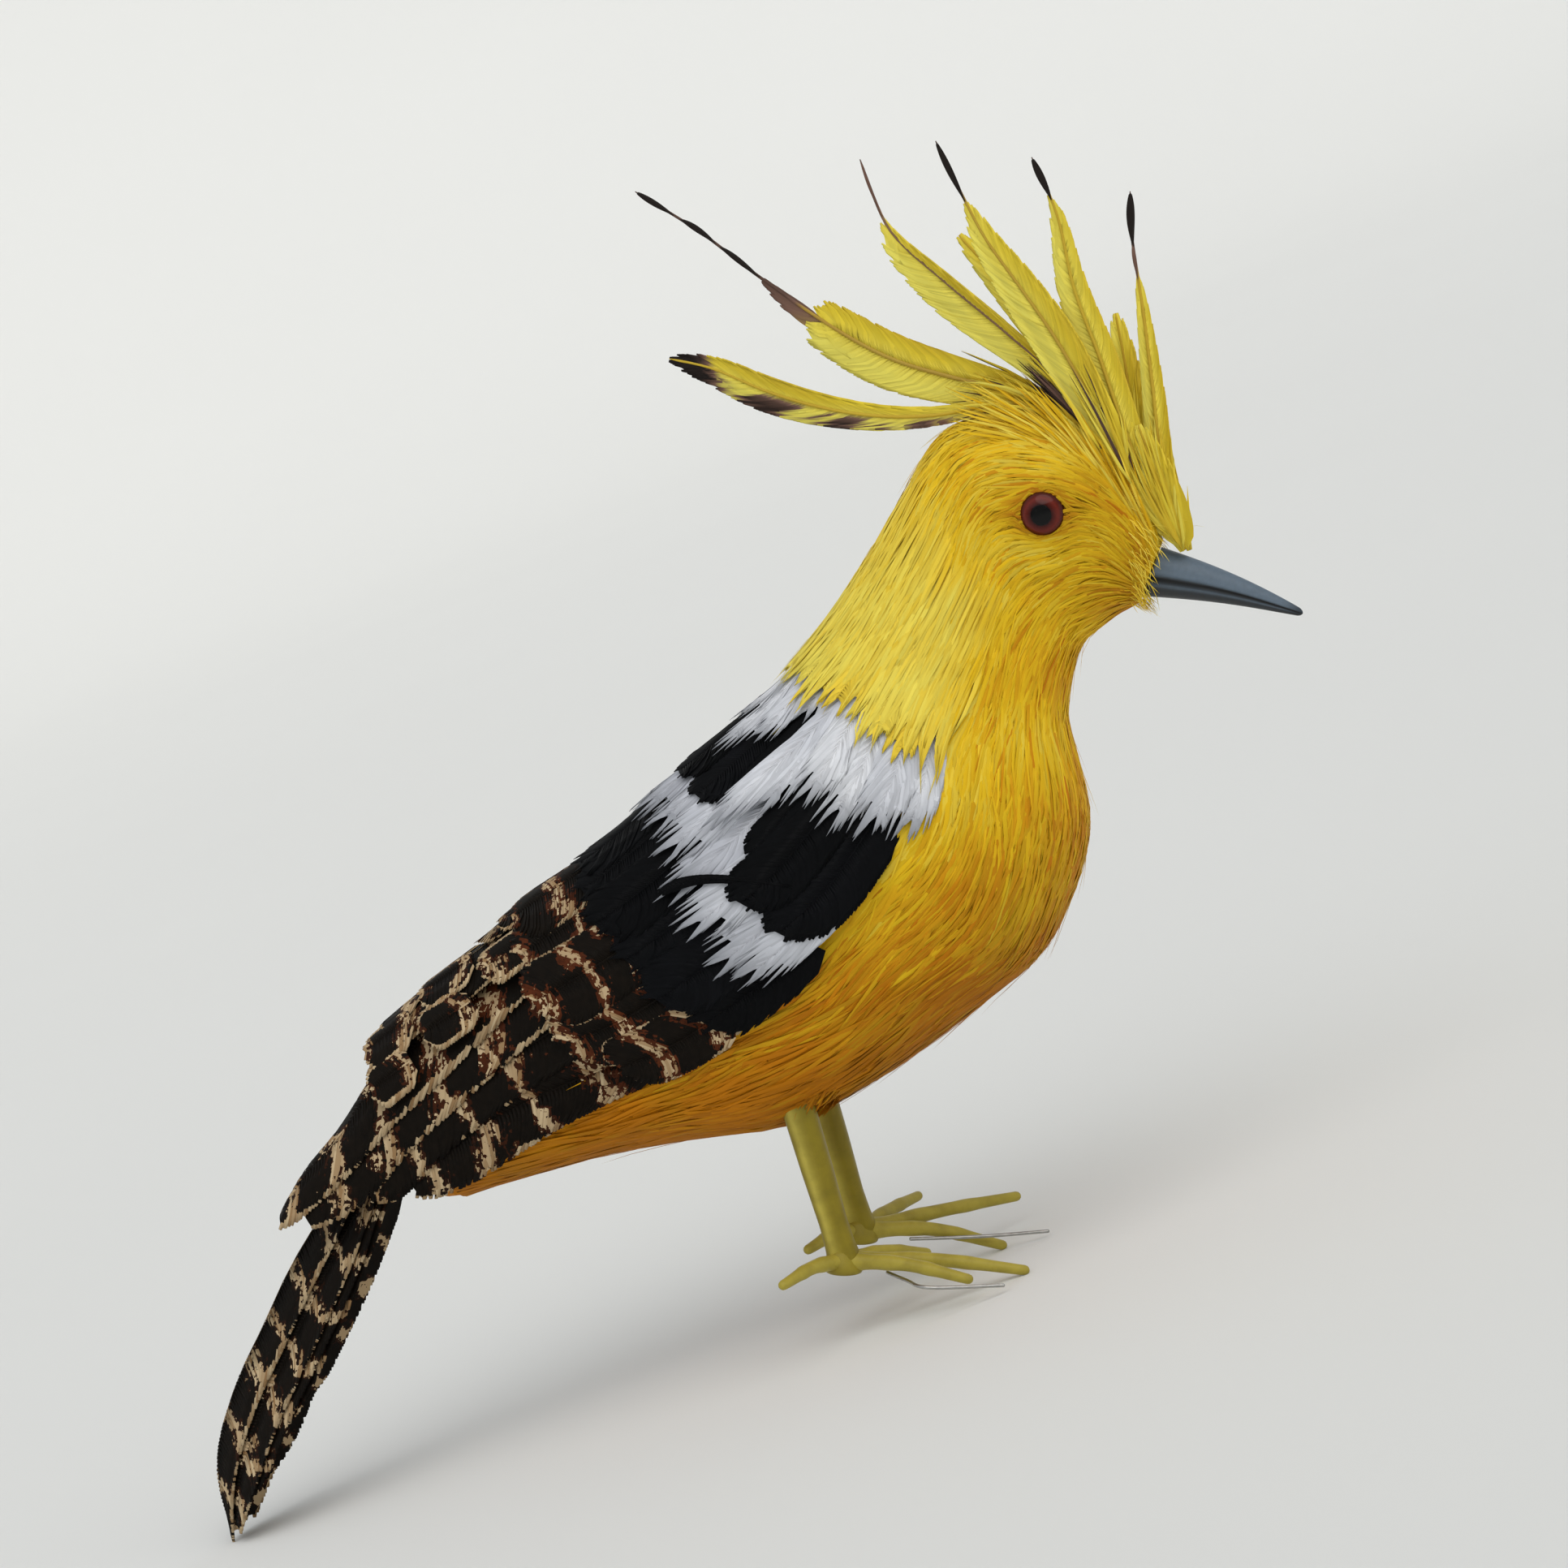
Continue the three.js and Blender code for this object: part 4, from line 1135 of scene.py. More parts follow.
BACK_ROWS = (
    BackRow(
        "plumage_yellow",
        0.12,
        mantle_row(),
        {"fray": 4.0, "tuft": 0.6, "blunt": 0.1, "slant": 0.4, "membrane": 0.9},
    ),
    BackRow(
        "feather_white",
        0.3,
        FRONT_WHITE,
        {"fray": 5.6, "tuft": 0.7, "clump": 4, "blunt": 0.06, "slant": 0.55, "membrane": 0.86},
        grey_end,
    ),
    BackRow("feather_black", 0.5, FRONT_BLACK, {"fray": 0.5, "tuft": 0.2, "blunt": 0.5, "slant": 0.32}),
    BackRow(
        "feather_white",
        0.58,
        REAR_WHITE,
        {"fray": 5.2, "tuft": 0.65, "clump": 4, "blunt": 0.06, "slant": 0.55, "membrane": 0.88},
        grey_end,
    ),
    BackRow("feather_black", 0.5, REAR_BLACK, {"fray": 2.0, "tuft": 0.55, "blunt": 0.2, "slant": 0.36}),
    BackRow("feather_barred", 0.9, COVERTS, {"fray": 0.6, "blunt": 0.6, "slant": 0.22, "edge": 0.95}),
)


@dataclass
class BackFeathers(SubAssembly):
    """The rows of feathers on the back: yellow mantle, white and black bands, barred coverts."""

    rump: RowFeather = RowFeather(9, 0, 8, 36)
    lobes: tuple[tuple[RowFeather, ...], ...] = (
        (RowFeather(34, 19.1, 4.2, 15), RowFeather(9, 18.5, 4.0, 14)),
        (RowFeather(44, 20.5, 4.2, 14), RowFeather(17, 20.3, 4.4, 15)),
        (RowFeather(24, 21.75, 4.6, 15), RowFeather(0, 21.3, 4.2, 13), RowFeather(52, 21.9, 3.8, 13)),
    )
    lobe_lift: float = 0.75
    layer: float = 0.35

    def row(self, order: int, row: BackRow) -> None:
        """Builds a row as one piece, each angle on both sides of the ridge.

        Args:
            order: The row's place from the neck.
            row: The row.
        """
        rng = np.random.default_rng(SEED + order)
        mesh = PieceMesh(self.perch)
        for number, values in enumerate(row.feathers):
            one = RowFeather(*values)
            for side in (-1, 1) if one.degrees else (1,):
                moved = replace(one, tip=one.tip + rng.normal(0, 0.06))
                place = moved.on_body(self.shape, order, side, (number % 2) * self.layer)
                shade = row.tint + rng.uniform(-0.15, 0.15)
                feather = Feather(one.length, one.half_width, **row.style)
                feather.lay(mesh, place, rng, start=rng.uniform(0, 4), tint=shade, soot=row.soot)
        node = self.shape.rows[order].node
        self.finish(mesh, node + "_dressed", row.slot, node)

    def build(self) -> None:
        """Builds the six rows, from the neck backwards, and the three feathers of the rump."""
        for order, row in enumerate(BACK_ROWS):
            self.row(order, row)
        rng = np.random.default_rng(SEED + 9)
        size = (self.rump.length, self.rump.half_width)
        look = {"fray": 0.5, "edge": 1.24, "pale_tip": 0.15, "dome": 0.5}
        for k, (tip, side) in enumerate(zip(self.shape.rump_tips, (1, -1, 0))):
            mesh = PieceMesh(self.perch)
            order = len(self.shape.rows) + k
            place = replace(self.rump, tip=tip).on_body(self.shape, order, side)
            long = Feather(*size, slant=0.22, fray=0.4, edge=1.02, shaft_soot=0.3)
            long.lay(mesh, place, rng, start=4.0 * k, tint=0.6)
            for lobe in self.lobes[k]:
                for side in (-1, 1) if lobe.degrees else (1,):
                    raised = lobe.on_body(self.shape, order, side, self.lobe_lift)
                    small = Feather(lobe.length, lobe.half_width, **look)
                    small.lay(mesh, raised, rng, start=rng.uniform(2, 9), tint=0.5)
            node = f"rump_feather_{k + 1}"
            self.finish(mesh, node + "_dressed", "feather_barred", node)


@dataclass
class WingFeathers(SubAssembly):
    """The long barred feathers of each wing, lapped like clapboards down the side."""

    roots: tuple[float, ...] = (16.2, 16.0, 15.8, 15.6)
    tips: tuple[float, ...] = (25.0, 24.4, 23.2, 22.5)
    length: float = 88.0
    width: float = 14.0
    spacing: float = 27.0
    pale_edges: tuple[float, ...] = (1.04, 0.98, 0.86, 0.88)
    top_edge: float = 4.0

    def place(self, order: int, side: int) -> Place:
        """Station by y, angle from the feather's top edge by x, lifted over the feather below.

        Args:
            order: The feather's place from the ridge.
            side: Left is 1, right is -1.

        Returns:
            The function that places the feather's plane.
        """
        top = self.top_edge + order * self.spacing
        root, tip = self.roots[order], self.tips[order]

        def placed(x: Array, y: Array, lift: Array) -> tuple[Array, Array]:
            """Places the feather's plane on the flank.

            Args:
                x: Across the feather.
                y: Along it.
                lift: Millimetres.

            Returns:
                Places and unit normals.
            """
            station = root + (tip - root) * y
            _, per_degree = self.shape.steps(station, np.full(np.shape(station), float(top)))
            turned = (0.5 + 0.5 * x) * self.width / per_degree
            rise = self.shape.skin_gap + self.shape.feather_layer * turned / self.spacing
            return self.shape.on(station, side * (top + turned), rise + 0.3 + lift)

        return placed

    @staticmethod
    def rust(x: Array, y: Array) -> Array:
        """Tint: rusty towards the root."""
        return np.clip(1.3 - 1.2 * y, 0, 1)

    def build(self) -> None:
        """Builds four feathers on each side, one piece each."""
        rng = np.random.default_rng(SEED + 30)
        for side, name in SIDES:
            for order, edge in enumerate(self.pale_edges):
                mesh = PieceMesh(self.perch)
                look = {"slant": 0.1, "fray": 0.5, "dome": 0.5, "edge": edge, "pale_tip": 0.22}
                feather = Feather(self.length, self.width / 2, 0.8, **look)
                feather.lay(mesh, self.place(order, side), rng, start=4.7 * order, tint=self.rust)
                node = f"wing_feather_{name}_{order + 1}"
                self.finish(mesh, node + "_dressed", "feather_barred", node)


TAIL_LINE = (
    ((-33.4, 5), (-35.4, 0.9), (-37.6, -3.8), (-40, -8.9))
    + ((-42.2, -13.6), (-43.9, -18.8), (-44.7, -24))
)


@dataclass
class TailFeathers(SubAssembly):
    """The tail: three feathers on each side of a roof, and one along its ridge."""

    line: Points = TAIL_LINE
    swell: tuple[float, ...] = (0.62, 0.86, 1, 1, 1, 0.9, 0.4)
    length: float = 92.0
    depth: float = 18.0
    half_width: float = 8.0
    shares: tuple[float, ...] = (0.66, 0.64, 0.55)
    step: float = 0.14
    layer: float = 1.1
    tips: tuple[float, ...] = (0.97, 0.87, 0.68)
    ridge_share: float = 0.3
    ridge_sharpness: float = 1.5

    def on(self, v: Array, q: Array, side: Array, lift: Array) -> tuple[Array, Array]:
        """A point of the roof and the direction out of its side.

        The point is the tail's middle line, moved back by the depth times 0.5 - q and sideways
        by the half width times q, and lifted square to the roof's side.

        Args:
            v: Share of the length.
            q: Share of the side, from the ridge.
            side: Left is 1, right is -1.
            lift: Millimetres.

        Returns:
            Places and unit directions.
        """
        v, q, side, lift = np.broadcast_arrays(v, q, side, lift)
        centre, along = smooth_line([(PERCENT * x, 0.0, PERCENT * z) for x, z in self.line], v)
        backwards = unit(np.cross(LEFTWARD, along))
        swell = stations_line(np.array(self.swell, float)[:, None], v * (len(self.swell) - 1))[..., 0]
        depth, half = self.depth * swell, self.half_width * swell
        outwards = unit(LEFTWARD * (side * depth)[..., None] + backwards * half[..., None])
        place = centre + backwards * (depth * (0.5 - q))[..., None]
        place = place + LEFTWARD * (side * half * q)[..., None] + outwards * lift[..., None]
        return place, outwards

    def side_place(self, order: int, side: int) -> Place:
        """Where a side feather lies: x runs down the roof from the feather's upper edge.

        Args:
            order: The feather's place from the ridge.
            side: Left is 1, right is -1.

        Returns:
            The function that places the feather's plane.
        """

        def placed(x: Array, y: Array, lift: Array) -> tuple[Array, Array]:
            """Places the feather's plane on the roof's side.

            Args:
                x: Across the feather.
                y: Along it.
                lift: Millimetres.

            Returns:
                Places and unit normals.
            """
            start = 0.04 + order * self.step
            q = start + (0.5 + 0.5 * x) * self.shares[order]
            rise = 0.5 + self.layer * (q - start) / self.step
            return self.on(y * self.tips[order], q, float(side), rise + 0.3 + lift)

        return placed

    def ridge_place(self, x: Array, y: Array, lift: Array) -> tuple[Array, Array]:
        """Where the ridge feather lies: bent over the ridge, which stands out between its halves.

        Args:
            x: Across the feather.
            y: Along it.
            lift: Millimetres.

        Returns:
            Places and unit normals.
        """
        q = np.abs(x) * self.ridge_share
        side = np.where(x < 0, -1.0, 1.0)
        rise = 0.5 + self.layer * (q / self.step + 1) + 0.3 + lift
        low, normal = self.on(y, q, side, rise)
        middle, _ = self.on(y, -rise * self.ridge_sharpness / self.depth, 0.0, 0.0)
        _, left = self.on(y, q, 1.0, rise)
        _, right = self.on(y, q, -1.0, rise)
        bend = np.clip(1 - np.abs(x) / 0.25, 0, 1)[..., None] ** 2
        return low * (1 - bend) + middle * bend, unit(normal * (1 - bend) + unit(left + right) * bend)

    def build(self) -> None:
        """Builds the seven feathers, one piece each."""
        rng = np.random.default_rng(SEED + 40)
        for side, name in SIDES:
            for order, tip in enumerate(self.tips):
                mesh = PieceMesh(self.perch)
                edge = 0.72 if order else 0.96
                look = {"slant": 0.1, "fray": 0.6, "dome": 0.3, "edge": edge, "pale_tip": 0.3}
                feather = Feather(self.length * tip, 6.5, 0.8, **look)
                feather.lay(mesh, self.side_place(order, side), rng, start=0.8 * order, tint=0.25)
                node = f"tail_feather_{name}_{order + 1}"
                self.finish(mesh, node + "_dressed", "feather_barred", node)
        mesh = PieceMesh(self.perch)
        ridge = Feather(self.length, 6, 0.8, slant=0.1, fray=0.4, dome=0.1, edge=1.03, shaft_soot=0.3)
        ridge.lay(mesh, self.ridge_place, rng, start=2.0, tint=0.25)
        self.finish(mesh, "tail_feather_ridge_dressed", "feather_barred", "tail_feather_ridge")


@dataclass(frozen=True)
class CrestFeather:
    """A crest feather.

    Its shaft's points are in per cent of the bird's length, and it leans to the left by so much
    at root and tip. Its vane starts and ends at two shares of the shaft and has a half width
    behind and before it, widest at its peak. Dark scraps of vane are left on the bare quill
    between two shares, with a half width on the near and the far side.
    """

    path: tuple[tuple[float, float], ...]
    sideways: tuple[float, float]
    vane: tuple[float, float, float, float]
    peak: float = 0.5
    taper: float = 0.93
    scraps: tuple[tuple[float, float, float, float], ...] = ()
    mottled: bool = False
    quill_soot: float = 0.08


CREST_FEATHERS = (
    CrestFeather(
        ((15.3, 60.9), (10, 61.6), (5.5, 60.9), (2, 60.8), (-2, 61.3), (-6, 62.4), (-10, 64), (-12.9, 64.6)),
        (-0.6, -3),
        (0.1, 1, 3.2, 4.2),
        peak=0.72,
        mottled=True,
    ),
    CrestFeather(
        ((15.9, 60.7), (10.7, 62.6), (6.7, 63.5), (2.7, 64.6))
        + ((-1, 66.4), (-7, 70.3), (-11, 73.2), (-15.7, 76)),
        (0.8, 4),
        (0.04, 0.575, 5.2, 6.6),
        peak=0.56,
        taper=0.7,
        scraps=((0.55, 0.69, 0.5, 3.2), (0.7, 0.8, 0.7, 0.4))
        + ((0.81, 0.895, 0.75, 0.45), (0.91, 1.0, 0.6, 0.6)),
        quill_soot=0.2,
    ),
    CrestFeather(
        ((17.5, 58.9), (14.3, 63.6), (10.6, 66.9), (6.5, 70.2), (2.7, 73.6), (1.3, 76.4), (0.5, 78.6)),
        (-2, -3.2),
        (0.03, 0.83, 1.8, 5.8),
        peak=0.66,
        scraps=((0.84, 1.0, 0.3, 0.3),),
        quill_soot=0.45,
    ),
    CrestFeather(
        ((17.9, 58.4), (15.4, 62.9), (12.7, 66.8), (9.7, 70.4), (7, 73.2)),
        (2.2, 6),
        (0.03, 1, 3.4, 3.4),
        peak=0.62,
    ),
    CrestFeather(
        ((19.6, 56.7), (16.6, 62.4), (14, 66.8), (11.6, 70.2), (9.3, 73.4), (8, 75.8), (5.9, 80)),
        (-3.2, -7),
        (0.03, 0.82, 4.4, 5),
        scraps=((0.83, 1.0, 0.55, 0.75),),
        quill_soot=0.15,
    ),
    CrestFeather(
        ((23.2, 51.9), (20.9, 55.6), (18.9, 60.4), (17.2, 65.2), (15.4, 69.9), (14.1, 75.2), (12.4, 78.9)),
        (-2.2, -4),
        (0.0, 0.89, 3.6, 4.4),
        scraps=((0.89, 1.0, 0.7, 0.8),),
    ),
    CrestFeather(((20.9, 55.4), (19.4, 60.3), (18.7, 64.3), (17.9, 67.9)), (3.0, 8), (0.02, 1, 3.4, 3.4)),
    CrestFeather(
        ((23.5, 51.8), (22.4, 54.6), (21.4, 58), (20.8, 62.7), (20, 68.4), (19.1, 74), (19, 76.5)),
        (0.2, 2),
        (0.0, 0.76, 2.5, 2.5),
        peak=0.4,
        scraps=((0.76, 0.86, 0.3, 0.5), (0.85, 1.0, 0.9, 0.8)),
    ),
    CrestFeather(((23.2, 52.0), (21.5, 56.4), (19.9, 60.6)), (-2.4, -3), (0.0, 1, 4.4, 3.0), peak=0.35),
)


@dataclass
class Crest(SubAssembly):
    """The fan of yellow crest feathers, most with a bare dark-tipped quill."""

    quill: float = 1.0
    feathers: tuple[CrestFeather, ...] = CREST_FEATHERS
    dark_tufts: tuple[tuple[tuple[float, float], ...], ...] = (
        ((17.4, 59.3), (14.6, 62.2), (11.5, 65.1)),
        ((17.2, 61.2), (15.2, 63.6), (12.6, 66.6)),
        ((19.9, 56.6), (18.3, 59.4), (16.9, 62.4)),
    )
    down: int = 80
    tuft: int = 40
    down_points: int = 6

    def shaft(self, feather: CrestFeather) -> list[tuple[float, float, float]]:
        """Points of a feather's shaft in the perch frame."""
        aside = np.linspace(*feather.sideways, len(feather.path))
        return [(PERCENT * x, float(y), PERCENT * z) for (x, z), y in zip(feather.path, aside)]

    def barbs(
        self,
        mesh: PieceMesh,
        points: Points,
        feather: CrestFeather,
        rng: Rng,
        cup: float = 0.0,
        **style: Channel,
    ) -> None:
        """Adds barbs on both sides of a stretch of the shaft.

        With t along it, their half width is sin(pi (0.04 + taper t^b))^0.7 times its widest,
        where b puts the widest place near the peak, and its last hundredths are rounded off.

        Args:
            mesh: The piece.
            points: The shaft.
            feather: Its vane, peak and taper are used.
            rng: Random numbers.
            cup: Millimetres that the edges curl to one side.
            style: Channels.
        """
        start, end, behind, before = feather.vane
        length = line_length(points) * (end - start)
        bow = math.log(0.5) / math.log(feather.peak)

        def placed(x: Array, y: Array, lift: Array) -> tuple[Array, Array]:
            """Places the vane's plane along the quill, its edges curled a little to one side.

            Args:
                x: Across the vane.
                y: Along it.
                lift: Millimetres.

            Returns:
                Places and unit normals.
            """
            centre, along = smooth_line(points, start + (end - start) * y)
            across = unit(np.cross(LEFTWARD, along))
            half = np.where(x < 0, before, behind)
            aside = cup * x**2 - lift
            point = centre + across * (x * half)[..., None] + LEFTWARD * aside[..., None]
            return point, unit(-LEFTWARD - across * (2 * cup * x / half)[..., None])

        def outline(v: Array) -> Array:
            """Share of the vane's greatest width."""
            bend = np.sin(np.pi * (0.04 + feather.taper * np.clip(v, 0, 1) ** bow)) ** 0.7
            return bend * np.sqrt(np.clip(1 - (np.maximum(v - 0.94, 0) / 0.062) ** 2, 0.0, 1))

        size = {"spacing": min(0.75, length / 24), "slant": min(14 / length, 0.5), "fray": 0.8, "tuft": 0.35}
        thin = {"blunt": 0.3, "height": 0.045, "dome": 0.0, "shaft": 0.16}
        Feather(length, max(behind, before), swell=outline, **size, **thin).lay(mesh, placed, rng, **style)

    def vane(self, mesh: PieceMesh, feather: CrestFeather, cup: float, rng: Rng) -> None:
        """Adds the yellow vane, with its black tip and blotches if it has them.

        Args:
            mesh: The piece.
            feather: The feather.
            cup: Millimetres that the vane's edges curl to one side.
            rng: Random numbers.
        """

        def soot(x: Array, y: Array) -> Array:
            """A black tip and brown-black blotches along the lower edge, or dark scraps at the root.

            Args:
                x: Across the vane.
                y: Along it.

            Returns:
                Soot from 0 to 1.
            """
            if feather.mottled:
                waves = np.sin(y * 31 + 2 * x) + 0.7 * np.sin(y * 77 + 9 * x) + 0.4 * np.sin(y * 140)
                blotches = smooth_step(0.2, 0.55, -x) * smooth_step(-0.5, 0.5, waves)
                blotches = blotches * smooth_step(0.12, 0.25, y)
                tip = smooth_step(0.86, 0.9, y - 0.05 * x)
                return np.clip(np.maximum(tip, 0.95 * blotches), 0, 1) * 0.98
            return 0.5 * smooth_step(0.7, 0.95, -x) * (1 - smooth_step(0.2, 0.42, y))

        tint = lambda x, y: 0.3 + 0.35 * x - 0.25 * smooth_step(0.2, 0.9, -x)
        self.barbs(mesh, self.shaft(feather), feather, rng, cup, tint=tint, soot=soot)

    def scrap(self, mesh: PieceMesh, points: Points, scrap: Sequence[float], rng: Rng) -> None:
        """Adds a narrow dark scrap of vane along the bare quill.

        It is pointed at both ends and widest towards the quill's tip, unless it is the broad one
        next to the vane, which has barbs of its own and widens towards the root.

        Args:
            mesh: The piece.
            points: The shaft.
            scrap: Shares of the shaft where it starts and ends, half widths behind and before it.
            rng: Random numbers.
        """
        low, high, near, far = scrap
        if far > 1.5:
            shape = CrestFeather((), (0, 0), scrap, peak=0.22)
            self.barbs(mesh, points, shape, rng, tint=0.5, soot=lambda x, y: 0.45 + 0.25 * y + 0.1 * x)
            return
        t = np.linspace(0, 1, 16)
        centre, along = smooth_line(points, np.minimum(low + (high - low) * t, 0.995))
        lens = np.sin(np.pi * (0.03 + 0.95 * t**1.3)) ** 0.75
        middle = centre + unit(np.cross(LEFTWARD, along)) * ((near - far) / 2 * lens)[:, None]
        normal = np.broadcast_to(-LEFTWARD, (1, len(t), 3))
        half = ((near + far) / 2 * lens)[None]
        soot = 0.7 - 0.2 * t[None] if near < 0.4 else 0.98
        for side in (-1, 1):
            line = middle - LEFTWARD * (side * 0.3)
            mesh.add_blades(line[None], normal * side, half, 0.22, tint=0.9, tone=0.6, soot=soot)

    def one(self, number: int, feather: CrestFeather) -> None:
        """Builds a crest feather: the vane, the tapering quill, and the dark scraps on it.

        Args:
            number: Its place in the fan.
            feather: The feather.
        """
        rng = np.random.default_rng(SEED + 50 + number)
        points = self.shaft(feather)
        mesh = PieceMesh(self.perch)
        self.vane(mesh, feather, rng.uniform(0.4, 1.1) * (1 if number % 2 else -1), rng)
        t = np.linspace(0, 1, 40)
        centre, along = smooth_line(points, t)
        angle = round_angles(8)
        across = unit(np.cross(LEFTWARD, along))
        radius = self.quill / 2 * (1 - 0.45 * t) * np.where(t > 0.985, 0.4, 1)
        spokes = across[:, None] * np.cos(angle)[None, :, None] + LEFTWARD * np.sin(angle)[None, :, None]
        ring = centre[:, None] + radius[:, None, None] * spokes
        end = feather.vane[1]
        bare = smooth_step(end - 0.02, end + 0.08, t) * (0.75 if end < 1 else 0.0)
        soot = np.maximum(bare, feather.quill_soot * smooth_step(0.0, 0.1, t))
        mesh.add_tube(ring, 100.0, tone=0.5, tint=0.75, soot=soot[:, None])
        for scrap in feather.scraps:
            self.scrap(mesh, points, scrap, rng)
        node = f"crest_feather_{number + 1}"
        self.finish(mesh, node + "_dressed", "feather_yellow", node)

    def base_down(self) -> None:
        """Builds the silky down round the crest's foot.

        Each barb starts near a feather's root and follows its shaft for a while, off to one side
        by a bow that is widest halfway, and ends in a fine point.
        """
        rng = np.random.default_rng(SEED + 70)
        mesh = PieceMesh(self.perch)
        each = (self.down, 1)
        t = np.linspace(0, 1, self.down_points)[None]
        profile = np.interp(t, [0, 0.2, 0.6, 1], [0.6, 1, 0.8, 0.08])
        for number, feather in enumerate(self.feathers):
            points = self.shaft(feather)
            whole = line_length(points)
            low = rng.uniform(0, 5, each) / whole
            reach = rng.uniform(9, 26, each) / whole
            centre, along = smooth_line(points, np.clip(low + reach * t, 0, 1))
            bow = rng.normal(0, 2.4 if number < 7 else 1.4, each) * t**0.7
            aside = rng.normal(0, 1.3, each) + rng.normal(0, 1.0, each) * t
            across = unit(np.cross(LEFTWARD, along))
            line = centre + across * bow[..., None] + LEFTWARD * aside[..., None]
            normal = np.broadcast_to(-LEFTWARD, line.shape)
            dark = rng.random(each) < (0.12 if number in (0, 1, 2, 4) else 0.0)
            tint = rng.uniform(0.1, 0.7, each)
            tone = rng.uniform(0.3, 1, each)
            marks = {"tone": tone, "tint": tint, "soot": 0.8 * dark}
            mesh.add_blades(line, normal, 0.34 * profile, 0.08 * profile, **marks)
        for path in self.dark_tufts:
            for side in (-1, 1):
                self.dark_tuft(mesh, path, side, rng)
        self.finish(mesh, "crest_base_down", "feather_yellow")

    def dark_tuft(self, mesh: PieceMesh, path: tuple[tuple[float, float], ...], side: int, rng: Rng) -> None:
        """Adds a small brown-black tuft of barbs between the crest feathers.

        Args:
            mesh: The piece.
            path: Its line, in per cent of the bird's length.
            side: Left is 1, right is -1.
            rng: Random numbers.
        """
        each = (self.tuft, 1)
        points = [(PERCENT * x, side * (2.4 + 0.6 * i), PERCENT * z) for i, (x, z) in enumerate(path)]
        t = np.linspace(0, 1, self.down_points)[None]
        low = rng.uniform(0, 0.3, each)
        centre, along = smooth_line(points, np.clip(low + rng.uniform(0.45, 0.75, each) * t, 0, 1))
        bow = rng.normal(0, 1.0, each) * (0.4 + 0.6 * t)
        across = unit(np.cross(LEFTWARD, along))
        line = centre + across * bow[..., None] + LEFTWARD * rng.normal(0, 0.5, (self.tuft, 1, 1))
        profile = np.interp(t, [0, 0.2, 0.6, 1], [0.6, 1, 0.8, 0.08])
        normal = np.broadcast_to(LEFTWARD * side, line.shape)
        soot = rng.choice([0.55, 0.9, 0.96], each)
        mesh.add_blades(line, normal, 0.36 * profile, 0.08 * profile, tone=0.5, tint=1.0, soot=soot)

    def build(self) -> None:
        """Builds the nine feathers and the down at their foot."""
        for number, feather in enumerate(self.feathers):
            self.one(number, feather)
        self.base_down()


@dataclass(frozen=True)
class StrandField:
    """A patch of silky barbs: limits of station and angle, count, lengths, half width, share of strays."""

    name: str
    stations: tuple[float, float]
    degrees: tuple[float, float]
    count: int
    length: tuple[float, float]
    half_width: float
    stray: float = 0.02


@dataclass(frozen=True)
class LooseBarbs:
    """Loose barbs: half width, height, width near the end, and the limits of tint and tone."""

    half_width: float
    height: float
    taper: float
    tint: tuple[float, float]
    tone: tuple[float, float]


